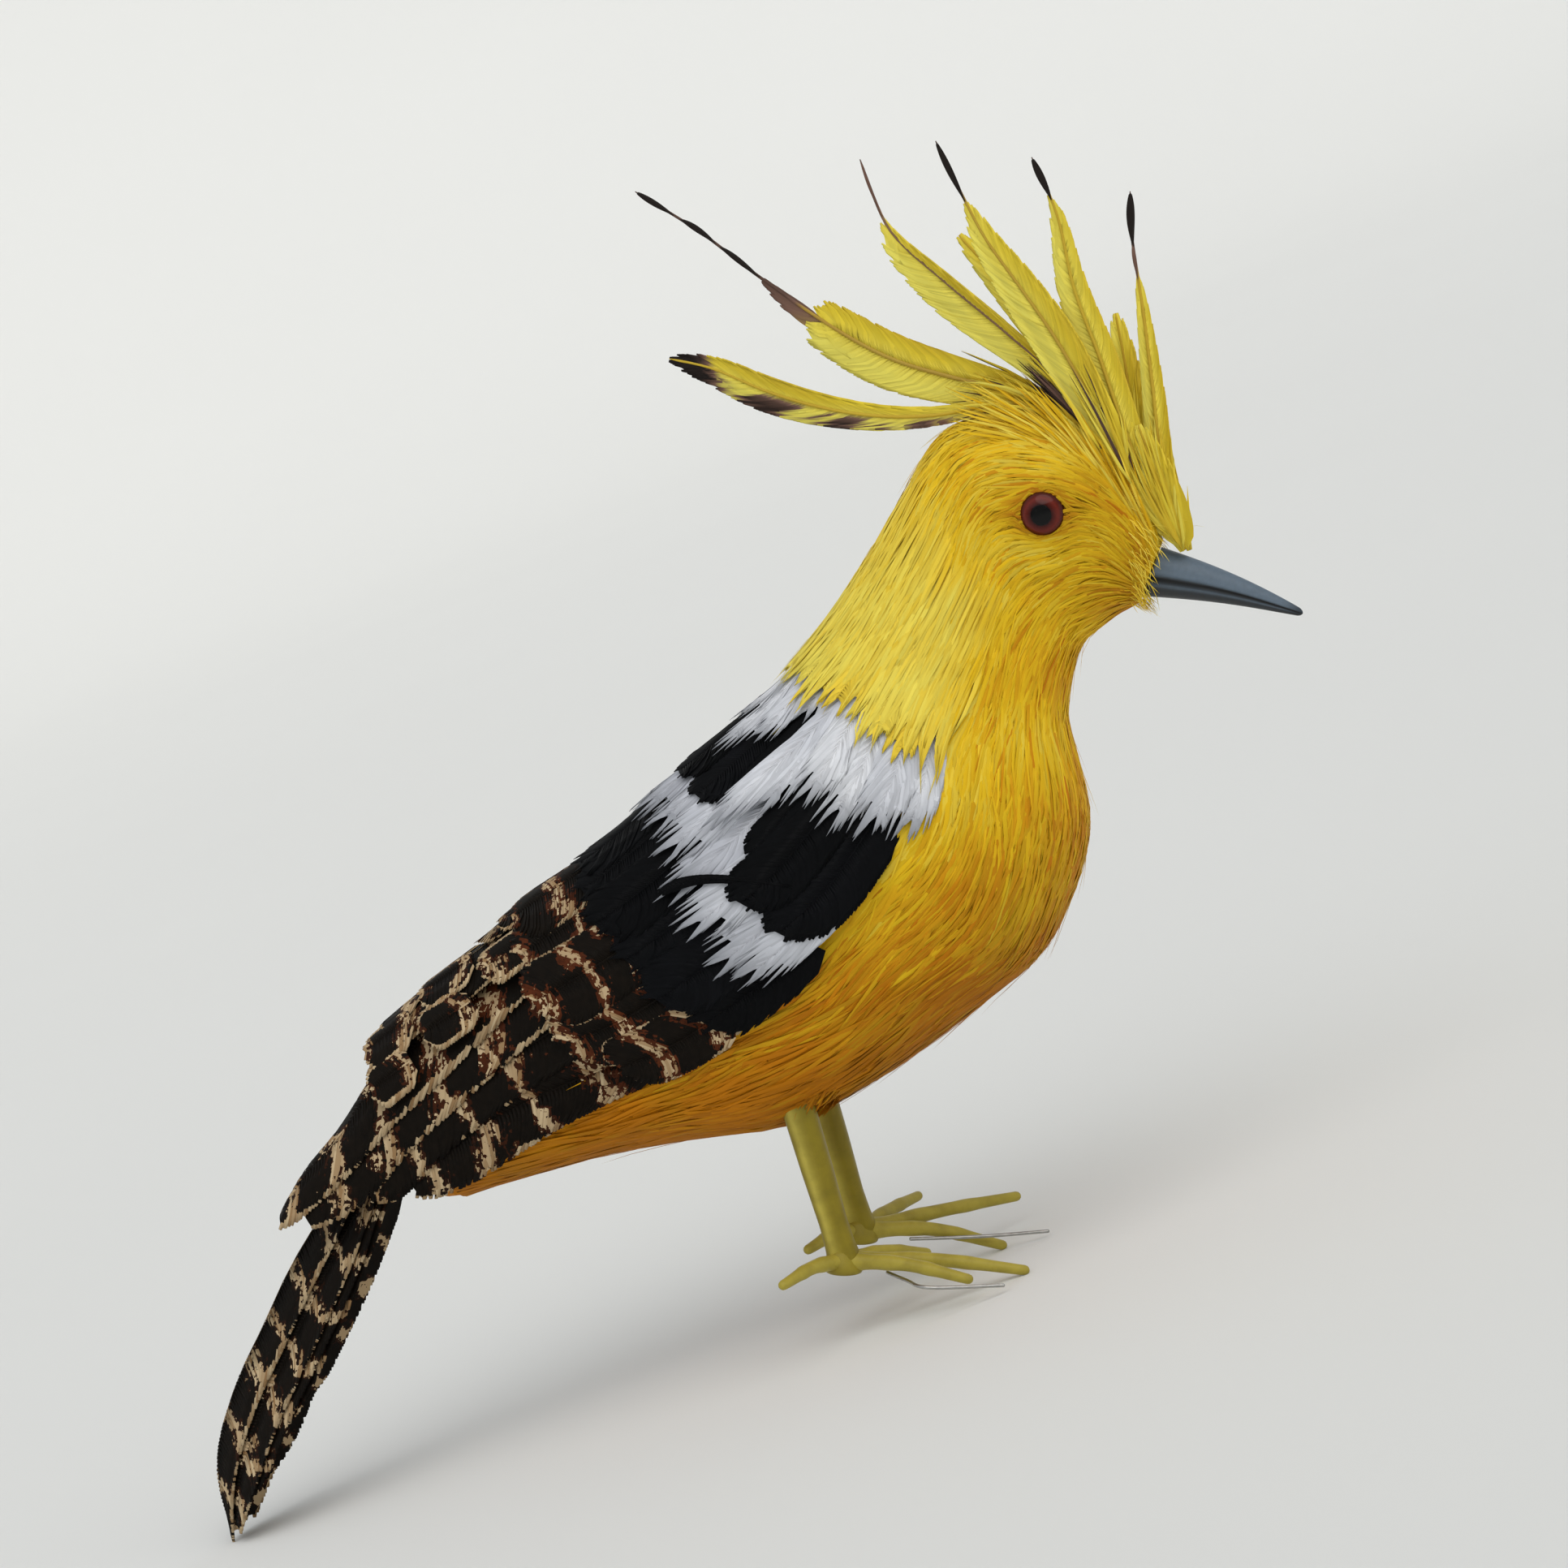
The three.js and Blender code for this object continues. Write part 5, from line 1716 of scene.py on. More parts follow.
@dataclass
class Plumage(SubAssembly):
    """The yellow plumage: a streaked down-covered skin with silky barbs combed over it."""

    eye: tuple[float, float] = (41.4, 164.7)
    eye_clearance: float = 5.0
    eye_side: float = 7.0
    strand_points: int = 5
    fields: tuple[StrandField, ...] = (
        StrandField("head_plumage", (0.1, 6.0), (0, 180), 4200, (9, 17), 0.32),
        StrandField("neck_plumage", (5.4, 9.3), (0, 180), 3200, (16, 26), 0.39),
        StrandField("breast_plumage", (9.0, 14.6), (89, 180), 2800, (16, 26), 0.45),
        StrandField("belly_plumage", (13.6, 21.6), (91, 180), 2300, (16, 28), 0.49),
    )
    skin_grid: tuple[int, int] = (110, 192)
    streak_rows: int = 26
    mantle_barbs: int = 3400
    mantle_tuft: float = 6.0
    sweep_barbs: int = 1000
    thigh_barbs: int = 340
    thigh: tuple[float, float] = (-5.2, 11.2)

    def tint_at(self, station: Array, degrees: Array) -> Array:
        """Lemon on nape and mantle, gold on head and breast, deeper gold under the belly, partly a deeper
        dye and partly painted shade.

        Args:
            station: Stations.
            degrees: Angles from the ridge.

        Returns:
            Tint, from light to deep.
        """
        places = [0, 1.5, 4, 6, 8, 9.5, 11, 14, 18, 22]
        base = np.interp(station, places, [0.58, 0.58, 0.5, 0.38, 0.18, 0.1, 0.22, 0.45, 0.7, 0.75])
        under = smooth_step(75, 125, np.abs(degrees))
        # Deeper gold towards the underside: partly deeper dye, partly painted shade.
        deep = 0.18 * smooth_step(90, 180, np.abs(degrees))
        return base + 0.33 * under * smooth_step(4, 8, station) + deep

    def painted_eye_shade_at(self, points: Array) -> Array:
        """Painted shade: darker, browner barbs in front of and behind the eye, with a darker ring round it.

        Args:
            points: Places in the perch frame.

        Returns:
            Shares from 0 to 1.
        """
        away = points[..., [0, 2]] - np.array(self.eye)
        near = np.exp(-((away[..., 0] / 11) ** 2) - ((away[..., 1] / 4.5) ** 2))
        rim = np.exp(-(((np.linalg.norm(away, axis=-1) - 5.2) / 1.0) ** 2))
        return np.minimum(near + 0.6 * rim, 1) * (np.abs(points[..., 1]) > self.eye_side)

    def round_eye(self, points: Array) -> Array:
        """Parts the plumage round the eyes: distance r from the eye's axis becomes (r^3 + c^3)^(1/3).

        Args:
            points: Places in the perch frame.

        Returns:
            The places, moved off the eyes.
        """
        away = points[..., [0, 2]] - np.array(self.eye)
        r = np.linalg.norm(away, axis=-1, keepdims=True)
        pushed = (r**3 + self.eye_clearance**3) ** (1 / 3)
        beside = (np.abs(points[..., 1]) > self.eye_side)[..., None]
        moved = np.array(self.eye) + away / np.maximum(r, 1e-6) * pushed
        flat = np.where(beside, moved, points[..., [0, 2]])
        return np.stack([flat[..., 0], points[..., 1], flat[..., 1]], -1)

    def skin(self) -> None:
        """Builds the skin: the foam's surface with fine combed streaks, closed over both ends.

        The streaks are random numbers for each of many angles, changing slowly along the body,
        and lift the surface by up to a few tenths of a millimetre.
        """
        rng = np.random.default_rng(SEED)
        rows, columns = self.skin_grid
        coarse = rng.normal(0, 1, (self.streak_rows, columns))
        weight = stations_line(np.eye(self.streak_rows), np.linspace(0, self.streak_rows - 1, rows))
        turn = np.radians([25, 45, 62, 76, 86])
        station = np.concatenate([[0, 0, 0], np.linspace(0, 22, rows), 22 + 0.6 * np.sin(turn)])
        sunk = np.concatenate([[-6, -3.5, -1.2], np.zeros(rows), -7 * (1 - np.cos(turn))])
        streak = np.pad(weight @ coarse, ((3, 5), (0, 0)))
        s, d = np.meshgrid(station, np.linspace(-180, 180, columns + 1)[:-1], indexing="ij")
        points, _ = self.shape.on(s, d, 0.05 + 0.1 * np.clip(streak, -2, 2) + sunk[:, None])
        # Painted shade: the skin under the back feathers turns black, and round the eyes it turns darker and
        # browner.
        under = (1 - smooth_step(88, 97, np.abs(d))) * smooth_step(10.4, 11.4, s)
        per_station, _ = self.shape.steps(s, d)
        shade = self.painted_eye_shade_at(points)
        mesh = PieceMesh(self.perch)
        mesh.add_tube(
            points,
            1.0,
            tint=np.clip(self.tint_at(s, d) + 0.06 * streak + 0.3 * shade, 0, 1),
            tone=np.clip(0.35 + 0.15 * streak, 0, 1),
            soot=np.clip(under + 0.25 * shade, 0, 1),
            across=np.abs(d) * 0.5,
            along=np.cumsum(np.vstack([per_station[:1] * 0, np.diff(s, axis=0) * per_station[1:]]), axis=0),
        )
        self.finish(mesh, "body_dressed", "plumage_yellow", "body")

    def roots(self, patch: StrandField, rng: Rng) -> tuple[Array, Array]:
        """Stations and angles of the barbs' roots, drawn evenly over the patch's surface.

        Args:
            patch: The patch.
            rng: Random numbers.

        Returns:
            Stations and angles.
        """
        many = patch.count * 6
        station = rng.uniform(*patch.stations, many)
        degrees = rng.uniform(*patch.degrees, many) * rng.choice([-1, 1], many)
        area = np.prod(self.shape.steps(station, degrees), axis=0)
        pick = rng.choice(many, patch.count, replace=False, p=area / area.sum())
        return station[pick], degrees[pick]

    def comb(self, station: Array, degrees: Array, length: Array, lean: Array) -> tuple[Array, Array]:
        """Stations and angles along barbs that follow the body and lean a little to one side.

        Args:
            station: Roots' stations.
            degrees: Roots' angles.
            length: Millimetres.
            lean: Sideways millimetres per millimetre.

        Returns:
            Stations and angles, each (number of barbs, points).
        """
        step = length / (self.strand_points - 1)
        stations, angles = [station], [degrees]
        for _ in range(self.strand_points - 1):
            per_station, per_degree = self.shape.steps(stations[-1], angles[-1])
            stations.append(stations[-1] + step / np.maximum(per_station, 2.0))
            angles.append(angles[-1] + step * lean / np.maximum(per_degree, 0.05))
        return np.stack(stations, 1), np.stack(angles, 1)

    def strands(self, patch: StrandField, rng: Rng) -> None:
        """Builds a patch of barbs.

        Each barb follows the stations, bends with a slow wave, rises a little off the skin,
        lies down again and ends in a fine point.

        Args:
            patch: The patch.
            rng: Random numbers.
        """
        station, degrees = self.roots(patch, rng)
        each = (patch.count, 1)
        length = rng.uniform(*patch.length, patch.count)
        lean = rng.normal(0, 0.09, patch.count) + 0.16 * np.sin(station * 1.7 + degrees * 0.06)
        s, d = self.comb(station, degrees, length, lean)
        t = np.linspace(0, 1, self.strand_points)[None]
        layer = rng.uniform(0, 1, each)
        stray = (rng.random(each) < patch.stray) * rng.uniform(0.6, 2.6, each)
        rise = 0.45 * layer * np.sin(np.pi * np.minimum(t * 1.1 + 0.08, 1)) ** 0.6
        lift = 0.05 + rise + 0.15 * t + stray * t**2
        points, normal = self.shape.on(np.clip(s, 0, 22), d, lift)
        points = self.round_eye(points)
        half = patch.half_width * rng.uniform(0.5, 1.3, each) * (1 - 0.55 * (stray > 0))
        profile = np.interp(t, [0, 0.2, 0.6, 0.85, 1], [0.5, 1, 0.95, 0.55, 0.06])
        shade = self.painted_eye_shade_at(points)
        # Painted shade: barbs under the breast and belly are darker, and round the eyes darker and browner;
        # the head's barbs are also a little darker.
        under = smooth_step(105, 150, np.abs(d)) * smooth_step(9, 15, s)
        darker_head_and_belly_shade = 0.35 * (1 - smooth_step(3.0, 6.5, s)) + 0.9 * under
        tone = np.clip(rng.normal(0.55, 0.2, each), 0, 1) * (1 - 0.9 * shade) - darker_head_and_belly_shade
        tint = self.tint_at(s, d) + rng.normal(0, 0.1, each) - 0.08 * t + 0.35 * shade
        tint = np.clip(tint + 0.3 * (rng.random(each) < 0.04), 0, 1)
        mesh = PieceMesh(self.perch)
        mesh.add_blades(points, normal, half * profile, 0.09 * profile, tone=tone, tint=tint)
        self.finish(mesh, patch.name, "plumage_yellow")

    def mantle(self, rng: Rng) -> None:
        """Builds the lemon barbs that run from the neck over the first white feathers.

        Their tips end on a wavy line round the body, drawn together in pointed tufts about
        3 mm wide: a barb's angle nears its tuft's in proportion to t^2.

        Args:
            rng: Random numbers.
        """
        n = self.mantle_barbs
        degrees = rng.uniform(0, 105, n) * rng.choice([-1, 1], n)
        tuft = np.round(degrees / self.mantle_tuft) * self.mantle_tuft
        uneven = np.sin(tuft * 1.9) * 0.22 + np.sin(tuft * 0.7 + 1) * 0.12
        border = ([0, 50, 62, 75, 90, 110], [10.0, 10.15, 10.35, 10.35, 10.85, 10.75])
        edge = np.interp(np.abs(tuft), *border) + uneven
        inside = 1 - np.abs(degrees - tuft) / (self.mantle_tuft / 2)
        rank = rng.uniform(0, 1, n)
        tip = edge - 2.3 * rank**1.3 - 0.45 * (1 - inside) * (rank < 0.35)
        length = rng.uniform(15, 25, n)
        per_station, _ = self.shape.steps(tip - 1, degrees)
        t = np.linspace(0, 1, self.strand_points)[None]
        s = tip[:, None] - (1 - t) * (length / per_station)[:, None]
        pull = 0.75 * (rank < 0.5)[:, None]
        wave = rng.normal(0, 1.2, (n, 1)) * np.sin(np.pi * t)
        d = degrees[:, None] + pull * (tuft - degrees)[:, None] * t**2 + wave
        cover = np.maximum(self.shape.row_lift(0, s, d), 0.0) + 0.55
        layer = rng.uniform(0, 0.7, (n, 1))
        lift = cover * smooth_step(0, 0.6, t) + layer * np.sin(np.pi * np.minimum(t + 0.1, 1)) ** 0.7
        points, normal = self.shape.on(s, d, lift)
        profile = np.interp(t, [0, 0.2, 0.6, 0.85, 1], [0.5, 1, 0.95, 0.6, 0.05])
        half = 0.38 * rng.uniform(0.5, 1.3, (n, 1))
        tone = np.clip(rng.normal(0.6, 0.18, (n, 1)), 0, 1)
        tint = np.clip(self.tint_at(s, d) + rng.normal(0, 0.07, (n, 1)) - 0.05 * t, 0, 1)
        mesh = PieceMesh(self.perch)
        mesh.add_blades(points, normal, half * profile, 0.09 * profile, tone=tone, tint=tint)
        self.finish(mesh, "mantle_plumage", "plumage_yellow")

    def loose(self, mesh: PieceMesh, line: Array, normal: Array, look: LooseBarbs, rng: Rng) -> None:
        """Adds loose barbs that end in a fine point.

        Args:
            mesh: The piece.
            line: Points (n, points, 3).
            normal: One outward direction for each barb.
            look: Their sizes and colours.
            rng: Random numbers.
        """
        t = np.linspace(0, 1, self.strand_points)[None]
        profile = np.interp(t, [0, 0.3, 0.7, 1], [0.8, 1, look.taper, 0.08])
        tint = rng.uniform(*look.tint, (len(line), 1))
        tone = rng.uniform(*look.tone, (len(line), 1))
        out = np.broadcast_to(normal[:, None], line.shape)
        mesh.add_blades(line, out, look.half_width * profile, look.height * profile, tone=tone, tint=tint)

    def face_wisps(self, rng: Rng) -> None:
        """Builds the loose barbs round the root of the beak and before the forehead.

        A barb starts on the rim of the face and runs forwards along the beak, first away from
        the rim and then down round it: root + length (ahead t + rise outwards t (1.2 - 0.6 t)
        + down t^1.4).

        Args:
            rng: Random numbers.
        """
        _, forwards = self.shape.face()
        mesh = PieceMesh(self.perch)
        t = np.linspace(0, 1, self.strand_points)[None, :, None]
        groups = ((300, 170, (2.5, 8), 0.12, 0.11), (40, 40, (7, 12), 0.9, 0.08))
        for many, spread, reach, rise, width in groups:
            degrees = rng.uniform(-spread, spread, many)
            station = rng.uniform(0.0, 1.1, many)
            root, normal = self.shape.on(station, degrees, 0.25)
            lower, _ = self.shape.on(station, degrees + np.sign(degrees) * 5, 0.25)
            down = unit(lower - root) * rng.uniform(0.1, 0.75, (many, 1)) * (rise < 0.5)
            length = rng.uniform(*reach, many)[:, None, None]
            turned = unit(normal + rng.normal(0, 0.35, normal.shape))[:, None]
            ahead = rng.uniform(0.2, 0.75, (many, 1, 1))
            run = ahead * forwards * t + rise * turned * t * (1.2 - 0.6 * t) + down[:, None] * t**1.4
            look = LooseBarbs(width, 0.06, 0.6, (0.0, 0.35), (0.4, 1.0))
            self.loose(mesh, root[:, None] + length * run, normal, look, rng)
        self.sweep(mesh, rng)
        self.finish(mesh, "face_wisps", "plumage_yellow")

    def sweep(self, mesh: PieceMesh, rng: Rng) -> None:
        """Adds the forehead's barbs, which rise off it and sweep back into the crest.

        A barb runs from its root along root + length (0.85 back t + rise outwards t).

        Args:
            mesh: The piece.
            rng: Random numbers.
        """
        n = self.sweep_barbs
        station = rng.uniform(0.0, 3.6, n)
        degrees = rng.uniform(-46, 46, n)
        root, normal = self.shape.on(station, degrees, 0.1)
        back = unit(self.shape.on(station + 0.3, degrees, 0.1)[0] - root)[:, None]
        t = np.linspace(0, 1, self.strand_points)[None, :, None]
        length = rng.uniform(7, 17, (n, 1, 1))
        rise = rng.uniform(0.1, 0.6, (n, 1, 1)) * np.cos(np.radians(degrees * 1.6))[:, None, None]
        aside = rng.normal(0, 0.07, (n, 1, 1)) * LEFTWARD
        line = root[:, None] + length * (0.85 * back * t + (rise * normal[:, None] + aside) * t)
        line[..., 1] *= 1 - 0.25 * t[..., 0]
        look = LooseBarbs(0.3, 0.07, 0.7, (0.1, 0.65), (0.25, 0.9))
        self.loose(mesh, line, unit(normal * [0.3, 1.0, 0.3]), look, rng)

    def thighs(self, rng: Rng) -> None:
        """Builds the loose barbs of the belly that hide where the legs go in.

        A barb starts on a ring round the leg's root and hangs along root + length (droop t
        + outwards t (0.35 - 0.5 t)), where the droop is down and a little back.

        Args:
            rng: Random numbers.
        """
        mesh = PieceMesh(self.perch)
        n = self.thigh_barbs
        t = np.linspace(0, 1, self.strand_points)[None, :, None]
        # Dark tone and deep tint: painted shade under the belly where the legs go in.
        look = LooseBarbs(0.32, 0.08, 0.7, (0.85, 1.0), (-0.7, 0.1))
        for side, _ in SIDES:
            turn = rng.uniform(0, 2 * np.pi, n)
            ring = np.stack([np.cos(turn), np.sin(turn), np.zeros(n)], -1)
            middle = np.array([self.thigh[0], side * self.thigh[1], 0.0])
            root = middle + rng.uniform(2.4, 4.6, (n, 1)) * ring * [1.15, 1.0, 1.0]
            root[:, 2] = self.belly_level(root)
            length = rng.uniform(2.5, 5.5, (n, 1, 1))
            droop = np.array([-0.55, 0.0, -0.72]) + rng.normal(0, 0.16, (n, 1, 3))
            line = root[:, None] + length * (droop * t + ring[:, None] * t * (0.35 - 0.5 * t))
            self.loose(mesh, line, ring, look, rng)
        self.finish(mesh, "thigh_down", "plumage_yellow")

    def belly_level(self, root: Array) -> Array:
        """Height of the belly's skin over points given by their x and y, a little inside it.

        Args:
            root: Points (n, 3).

        Returns:
            Heights in millimetres.
        """
        s, d = np.meshgrid(np.linspace(11, 19, 120), np.linspace(120, 180, 90), indexing="ij")
        skin = self.shape.on(s, d, -0.6)[0].reshape(-1, 3)
        flat = np.stack([root[:, 0], np.abs(root[:, 1])], -1)
        nearest = np.argmin(np.linalg.norm(skin[None, :, :2] - flat[:, None], axis=-1), axis=1)
        return skin[nearest, 2]

    def build(self) -> None:
        """Builds the skin, every patch of barbs, the mantle, the wisps and the thighs."""
        self.skin()
        rng = np.random.default_rng(SEED + 1)
        for patch in self.fields:
            self.strands(patch, rng)
        self.mantle(rng)
        self.face_wisps(rng)
        self.thighs(rng)


@dataclass
class Beak(SubAssembly):
    """The beak: a tapering, slightly drooping loft with a groove along each side where it would open."""

    length: float = 32.4
    depth: float = 11.2
    width: float = 9.6
    groove: float = 0.75
    point: tuple[float, float] = (31.33, 47.6)
    rings: int = 44
    sides: int = 72

    def build(self) -> None:
        """Builds the beak.

        A ring's share of the full section is 0.12 + 0.88 (1 - t)^0.88, rounded off at the tip.
        The middle line arches by 0.07 of the depth. The groove is a narrow dip where the
        section meets the level of the gape, which lies a little below the middle.
        """
        face, outwards = self.shape.face()
        root = face.mean(axis=0) + 0.3 * outwards
        along = unit(np.array([PERCENT * self.point[0], 0.0, PERCENT * self.point[1]]) - root)
        upwards = unit(np.cross(along, LEFTWARD))
        tip = 0.97 + 0.03 * np.sin(np.radians([25, 50, 70, 84, 90]))
        t = np.concatenate([np.linspace(0, 0.97, self.rings), tip])[:, None]
        cap = np.concatenate([np.ones(self.rings), np.cos(np.radians([25, 50, 70, 84, 89]))])[:, None]
        share = (0.12 + 0.88 * np.clip(1 - t, 0, 1) ** 0.88) * cap
        angle = round_angles(self.sides)
        cos, sin = np.cos(angle)[None], np.sin(angle)[None]
        centre = root + along * (t * self.length) + upwards * (0.07 * self.depth * np.sin(np.pi * t))
        off = sin - (-0.12 + 0.1 * t)
        dip = np.exp(-((off / 0.09) ** 2)) * self.groove * share * (t < 0.97)
        lip = np.exp(-(((off - 0.2) / 0.12) ** 2)) * 0.22 * share
        lower = np.where(off < 0, 0.94, 1.0)
        beside = np.abs(cos) > 0.5
        aside = np.sign(cos) * (np.abs(cos) * self.width / 2 * share * lower - dip * beside + lip * beside)
        rise = self.depth / 2 * share * sin * lower
        points = centre[:, None] + LEFTWARD * aside[..., None] + upwards * rise[..., None]
        points[0] = points[0] - ((points[0] - root) @ outwards)[:, None] * outwards
        line = np.exp(-((off / 0.14) ** 2)) * 1.2 * (np.abs(cos) > 0.4)
        soot = np.clip(line + smooth_step(0.84, 1.0, t) * 0.75, 0, 1)
        pale_lip = 0.7 * np.exp(-(((off + 0.27) / 0.1) ** 2))
        mesh = PieceMesh(self.perch)
        mesh.add_tube(points, 1.0, tint=np.clip(smooth_step(-0.02, 0.14, off) + pale_lip, 0, 1), soot=soot)
        self.finish(mesh, "beak_dressed", "beak_slate", "beak")


@dataclass
class Eyes(SubAssembly):
    """The two domed glass eyes, a flattened ball each, with the pupil on its pole."""

    place: tuple[float, float] = (41.4, 164.7)
    station: float = 4.2
    diameter: float = 9.2
    depth: float = 5.2
    stands_out: float = 1.9
    rings: int = 40
    sides: int = 48

    def build(self) -> None:
        """Builds each eye as an ellipsoid about an axis to the side; the rings run from pole to pole."""
        half = float(stations_line(self.shape.stations, np.array(self.station))[4])
        middle = half - self.depth / 2 + self.stands_out
        polar = np.radians(np.linspace(3, 177, self.rings))[:, None]
        angle = round_angles(self.sides)
        radius = self.diameter / 2 * np.sin(polar)
        x, z = self.place[0] + radius * np.cos(angle), self.place[1] + radius * np.sin(angle)
        for side, name in SIDES:
            y = side * (middle + self.depth / 2 * np.cos(polar)) + 0 * x
            mesh = PieceMesh(self.perch)
            mesh.add_tube(np.stack([x, y, z], -1), 1.0, across=np.sin(polar) + (polar > np.pi / 2))
            self.finish(mesh, f"eye_{name}_glass", "eye_red_brown", f"eye_{name}")


def round_tube(points: Points, radius: Callable[[Array], Array], steps: int, sides: int) -> Array:
    """Rings of a round tube along a smooth line, with rounded ends.

    Args:
        points: The line.
        radius: Radius in millimetres by share of the length.
        steps: Rings.
        sides: Points in a ring.

    Returns:
        Points (rings, sides, 3).
    """
    t = np.linspace(0, 1, steps)
    centre, along = smooth_line(points, t)
    level = unit(np.cross(LEFTWARD, along) + np.array([0, 0, 1e-6]))
    across = unit(np.cross(along, level))
    thick = radius(t)
    angle = round_angles(sides)[None, :, None]
    turn = np.radians([30, 55, 75, 88])
    start = centre[0] - along[0] * (thick[0] * np.sin(turn[::-1]))[:, None]
    stop = centre[-1] + along[-1] * (thick[-1] * np.sin(turn))[:, None]
    centre = np.vstack([start, centre, stop])
    thick = np.concatenate([thick[0] * np.cos(turn[::-1]), thick, thick[-1] * np.cos(turn)])
    across, level = (np.pad(v, ((4, 4), (0, 0)), "edge") for v in (across, level))
    spokes = across[:, None] * np.cos(angle) + level[:, None] * np.sin(angle)
    return centre[:, None] + spokes * thick[:, None, None]


@dataclass(frozen=True)
class Toe:
    """A toe: direction in degrees from straight ahead, length, rise of the tip.

    A toe on the plane has its tip where the pitched bird meets the floor.
    """

    turn: float
    length: float
    rise: float
    on_plane: bool = False


RIGHT_TOES = (Toe(5, 38.5, 0), Toe(-12, 28, 0.2), Toe(36, 20, 0.4), Toe(-124, 19, 0))
LEFT_TOES = (Toe(17, 31.5, 0, True), Toe(36, 39, 4), Toe(66, 24, 3.4), Toe(-126, 16, 0.2))
RIGHT_WIRE = ((9.5, -1, 0.5), (14.5, -6.4, 0.5), (18.5, -10.6, 0.5), (35, -7, 0.6))
LEFT_WIRE = ((11, 1.4, 0.5), (19, 3.6, 0.5), (28.5, 5.4, 0.9), (40.5, 5.6, 2.4))


@dataclass
class Legs(SubAssembly):
    """The moulded legs, each a shank with a foot pad and four toes, and the wires beside the feet."""

    spread: float = 24.0
    shank_top: tuple[float, float] = (-9.7, 35.1)
    shank_width: float = 7.2
    shank_thickness: float = 5.8
    shank_power: float = 0.75
    sides: int = 40
    toe_diameter: float = 3.4
    toe_tip: float = 2.2
    toe_arch: float = 1.3
    wire_radius: float = 0.4
    pad_levels: tuple[float, ...] = (0, 0.15, 0.8, 1.6, 2.4, 3.2, 4.2, 5.2)
    pad_radii: tuple[float, ...] = (3.2, 3.9, 4.2, 4.15, 3.9, 3.5, 3.1, 2.4)
    toes: tuple[tuple[Toe, ...], ...] = (RIGHT_TOES, LEFT_TOES)
    wires: tuple[Points, ...] = (RIGHT_WIRE, LEFT_WIRE)

    def toe_line(self, toe: Toe, ankle: Array) -> list[Array]:
        """Start, middle and tip of a toe's middle line, arched off the ground halfway.

        Args:
            toe: The toe.
            ankle: Middle of the sole.

        Returns:
            Three points.
        """
        ahead = np.array([math.cos(math.radians(toe.turn)), math.sin(math.radians(toe.turn)), 0])
        foremost = self.toes[0][0]
        tip = ankle + ahead * toe.length
        reach = foremost.length * math.cos(math.radians(foremost.turn))
        drop = (reach - tip[0]) * math.tan(self.perch.pitch) if toe.on_plane else 0.0
        tip[2] = self.toe_tip / 2 + toe.rise - drop
        middle = ankle + ahead * toe.length * 0.5
        middle[2] = self.toe_diameter / 2 + self.toe_arch + (toe.rise - drop) * 0.3
        start = ankle.copy()
        start[2] = self.toe_diameter / 2 + self.toe_arch / 2
        return [start, middle, tip]

    def toe_radius(self, t: Array) -> Array:
        """Radius along a toe: thick at the root, tapering, with two knuckles.

        Args:
            t: Shares of the length.

        Returns:
            Millimetres.
        """
        knuckles = 0.16 * np.exp(-(((t - 0.36) / 0.07) ** 2)) + 0.14 * np.exp(-(((t - 0.68) / 0.06) ** 2))
        taper = self.toe_diameter / 2 + (self.toe_tip - self.toe_diameter) / 2 * t**1.5
        return taper + 0.9 * np.exp(-((t / 0.12) ** 2)) + knuckles

    def shank(self, ankle: Array) -> tuple[Array, Array]:
        """Rings of the shank, a rounded bar from the ankle into the belly, and the tint of its paler band, a
        painted highlight.

        Args:
            ankle: Middle of the sole.

        Returns:
            Points (rings, sides, 3) and the tint of the paler band.
        """
        foot = ankle + [0, 0, 3.0]
        belly = np.array([self.shank_top[0], ankle[1], self.shank_top[1]])
        along = unit(belly - foot)
        forward = unit(np.cross(LEFTWARD, along))
        reach = float(np.linalg.norm(belly - foot)) + 10
        t = np.linspace(-2.2, reach, 40)
        share = np.interp(t, [-2.2, 0, 3, 8, 20, reach], [0.7, 1.0, 0.9, 0.84, 0.94, 1.02])
        cos, sin = np.cos(round_angles(self.sides)), np.sin(round_angles(self.sides))
        dent = 1 - 0.06 * np.exp(-((cos / 0.28) ** 2))
        x = self.shank_width / 2 * (np.sign(cos) * np.abs(cos) ** self.shank_power)
        y = self.shank_thickness / 2 * (np.sign(sin) * np.abs(sin) ** self.shank_power) * dent
        centre = foot + along * t[:, None]
        spokes = forward * x[None, :, None] + LEFTWARD * y[None, :, None]
        rings = centre[:, None] + share[:, None, None] * spokes
        # Paler band down the middle of each flat side: a painted highlight.
        return rings, np.exp(-(((cos + 0.35) / 0.3) ** 2))

    def pad(self, ankle: Array) -> Array:
        """Rings of the foot pad.

        Args:
            ankle: Middle of the sole.

        Returns:
            Points (rings, sides, 3).
        """
        angle = round_angles(self.sides)
        level, radius = (np.array(v)[:, None] for v in (self.pad_levels, self.pad_radii))
        x = ankle[0] + radius * np.cos(angle) - 0.12 * level
        return np.stack([x, ankle[1] + radius * np.sin(angle), level + 0 * angle], -1)

    def build(self) -> None:
        """Builds each leg as one piece, and each wire."""
        for (side, name), toes, points in zip(SIDES, self.toes, self.wires):
            ankle = np.array([0.0, side * self.spread / 2, 0.0])
            mesh = PieceMesh(self.perch)
            rings, highlight_stripe = self.shank(ankle)
            # The shank's tint paints its highlight band.
            mesh.add_tube(rings, 800.0, tint=highlight_stripe)
            mesh.add_tube(self.pad(ankle), 100.0, tint=0.2)
            for toe in toes:
                tube = round_tube(self.toe_line(toe, ankle), self.toe_radius, 46, 24)
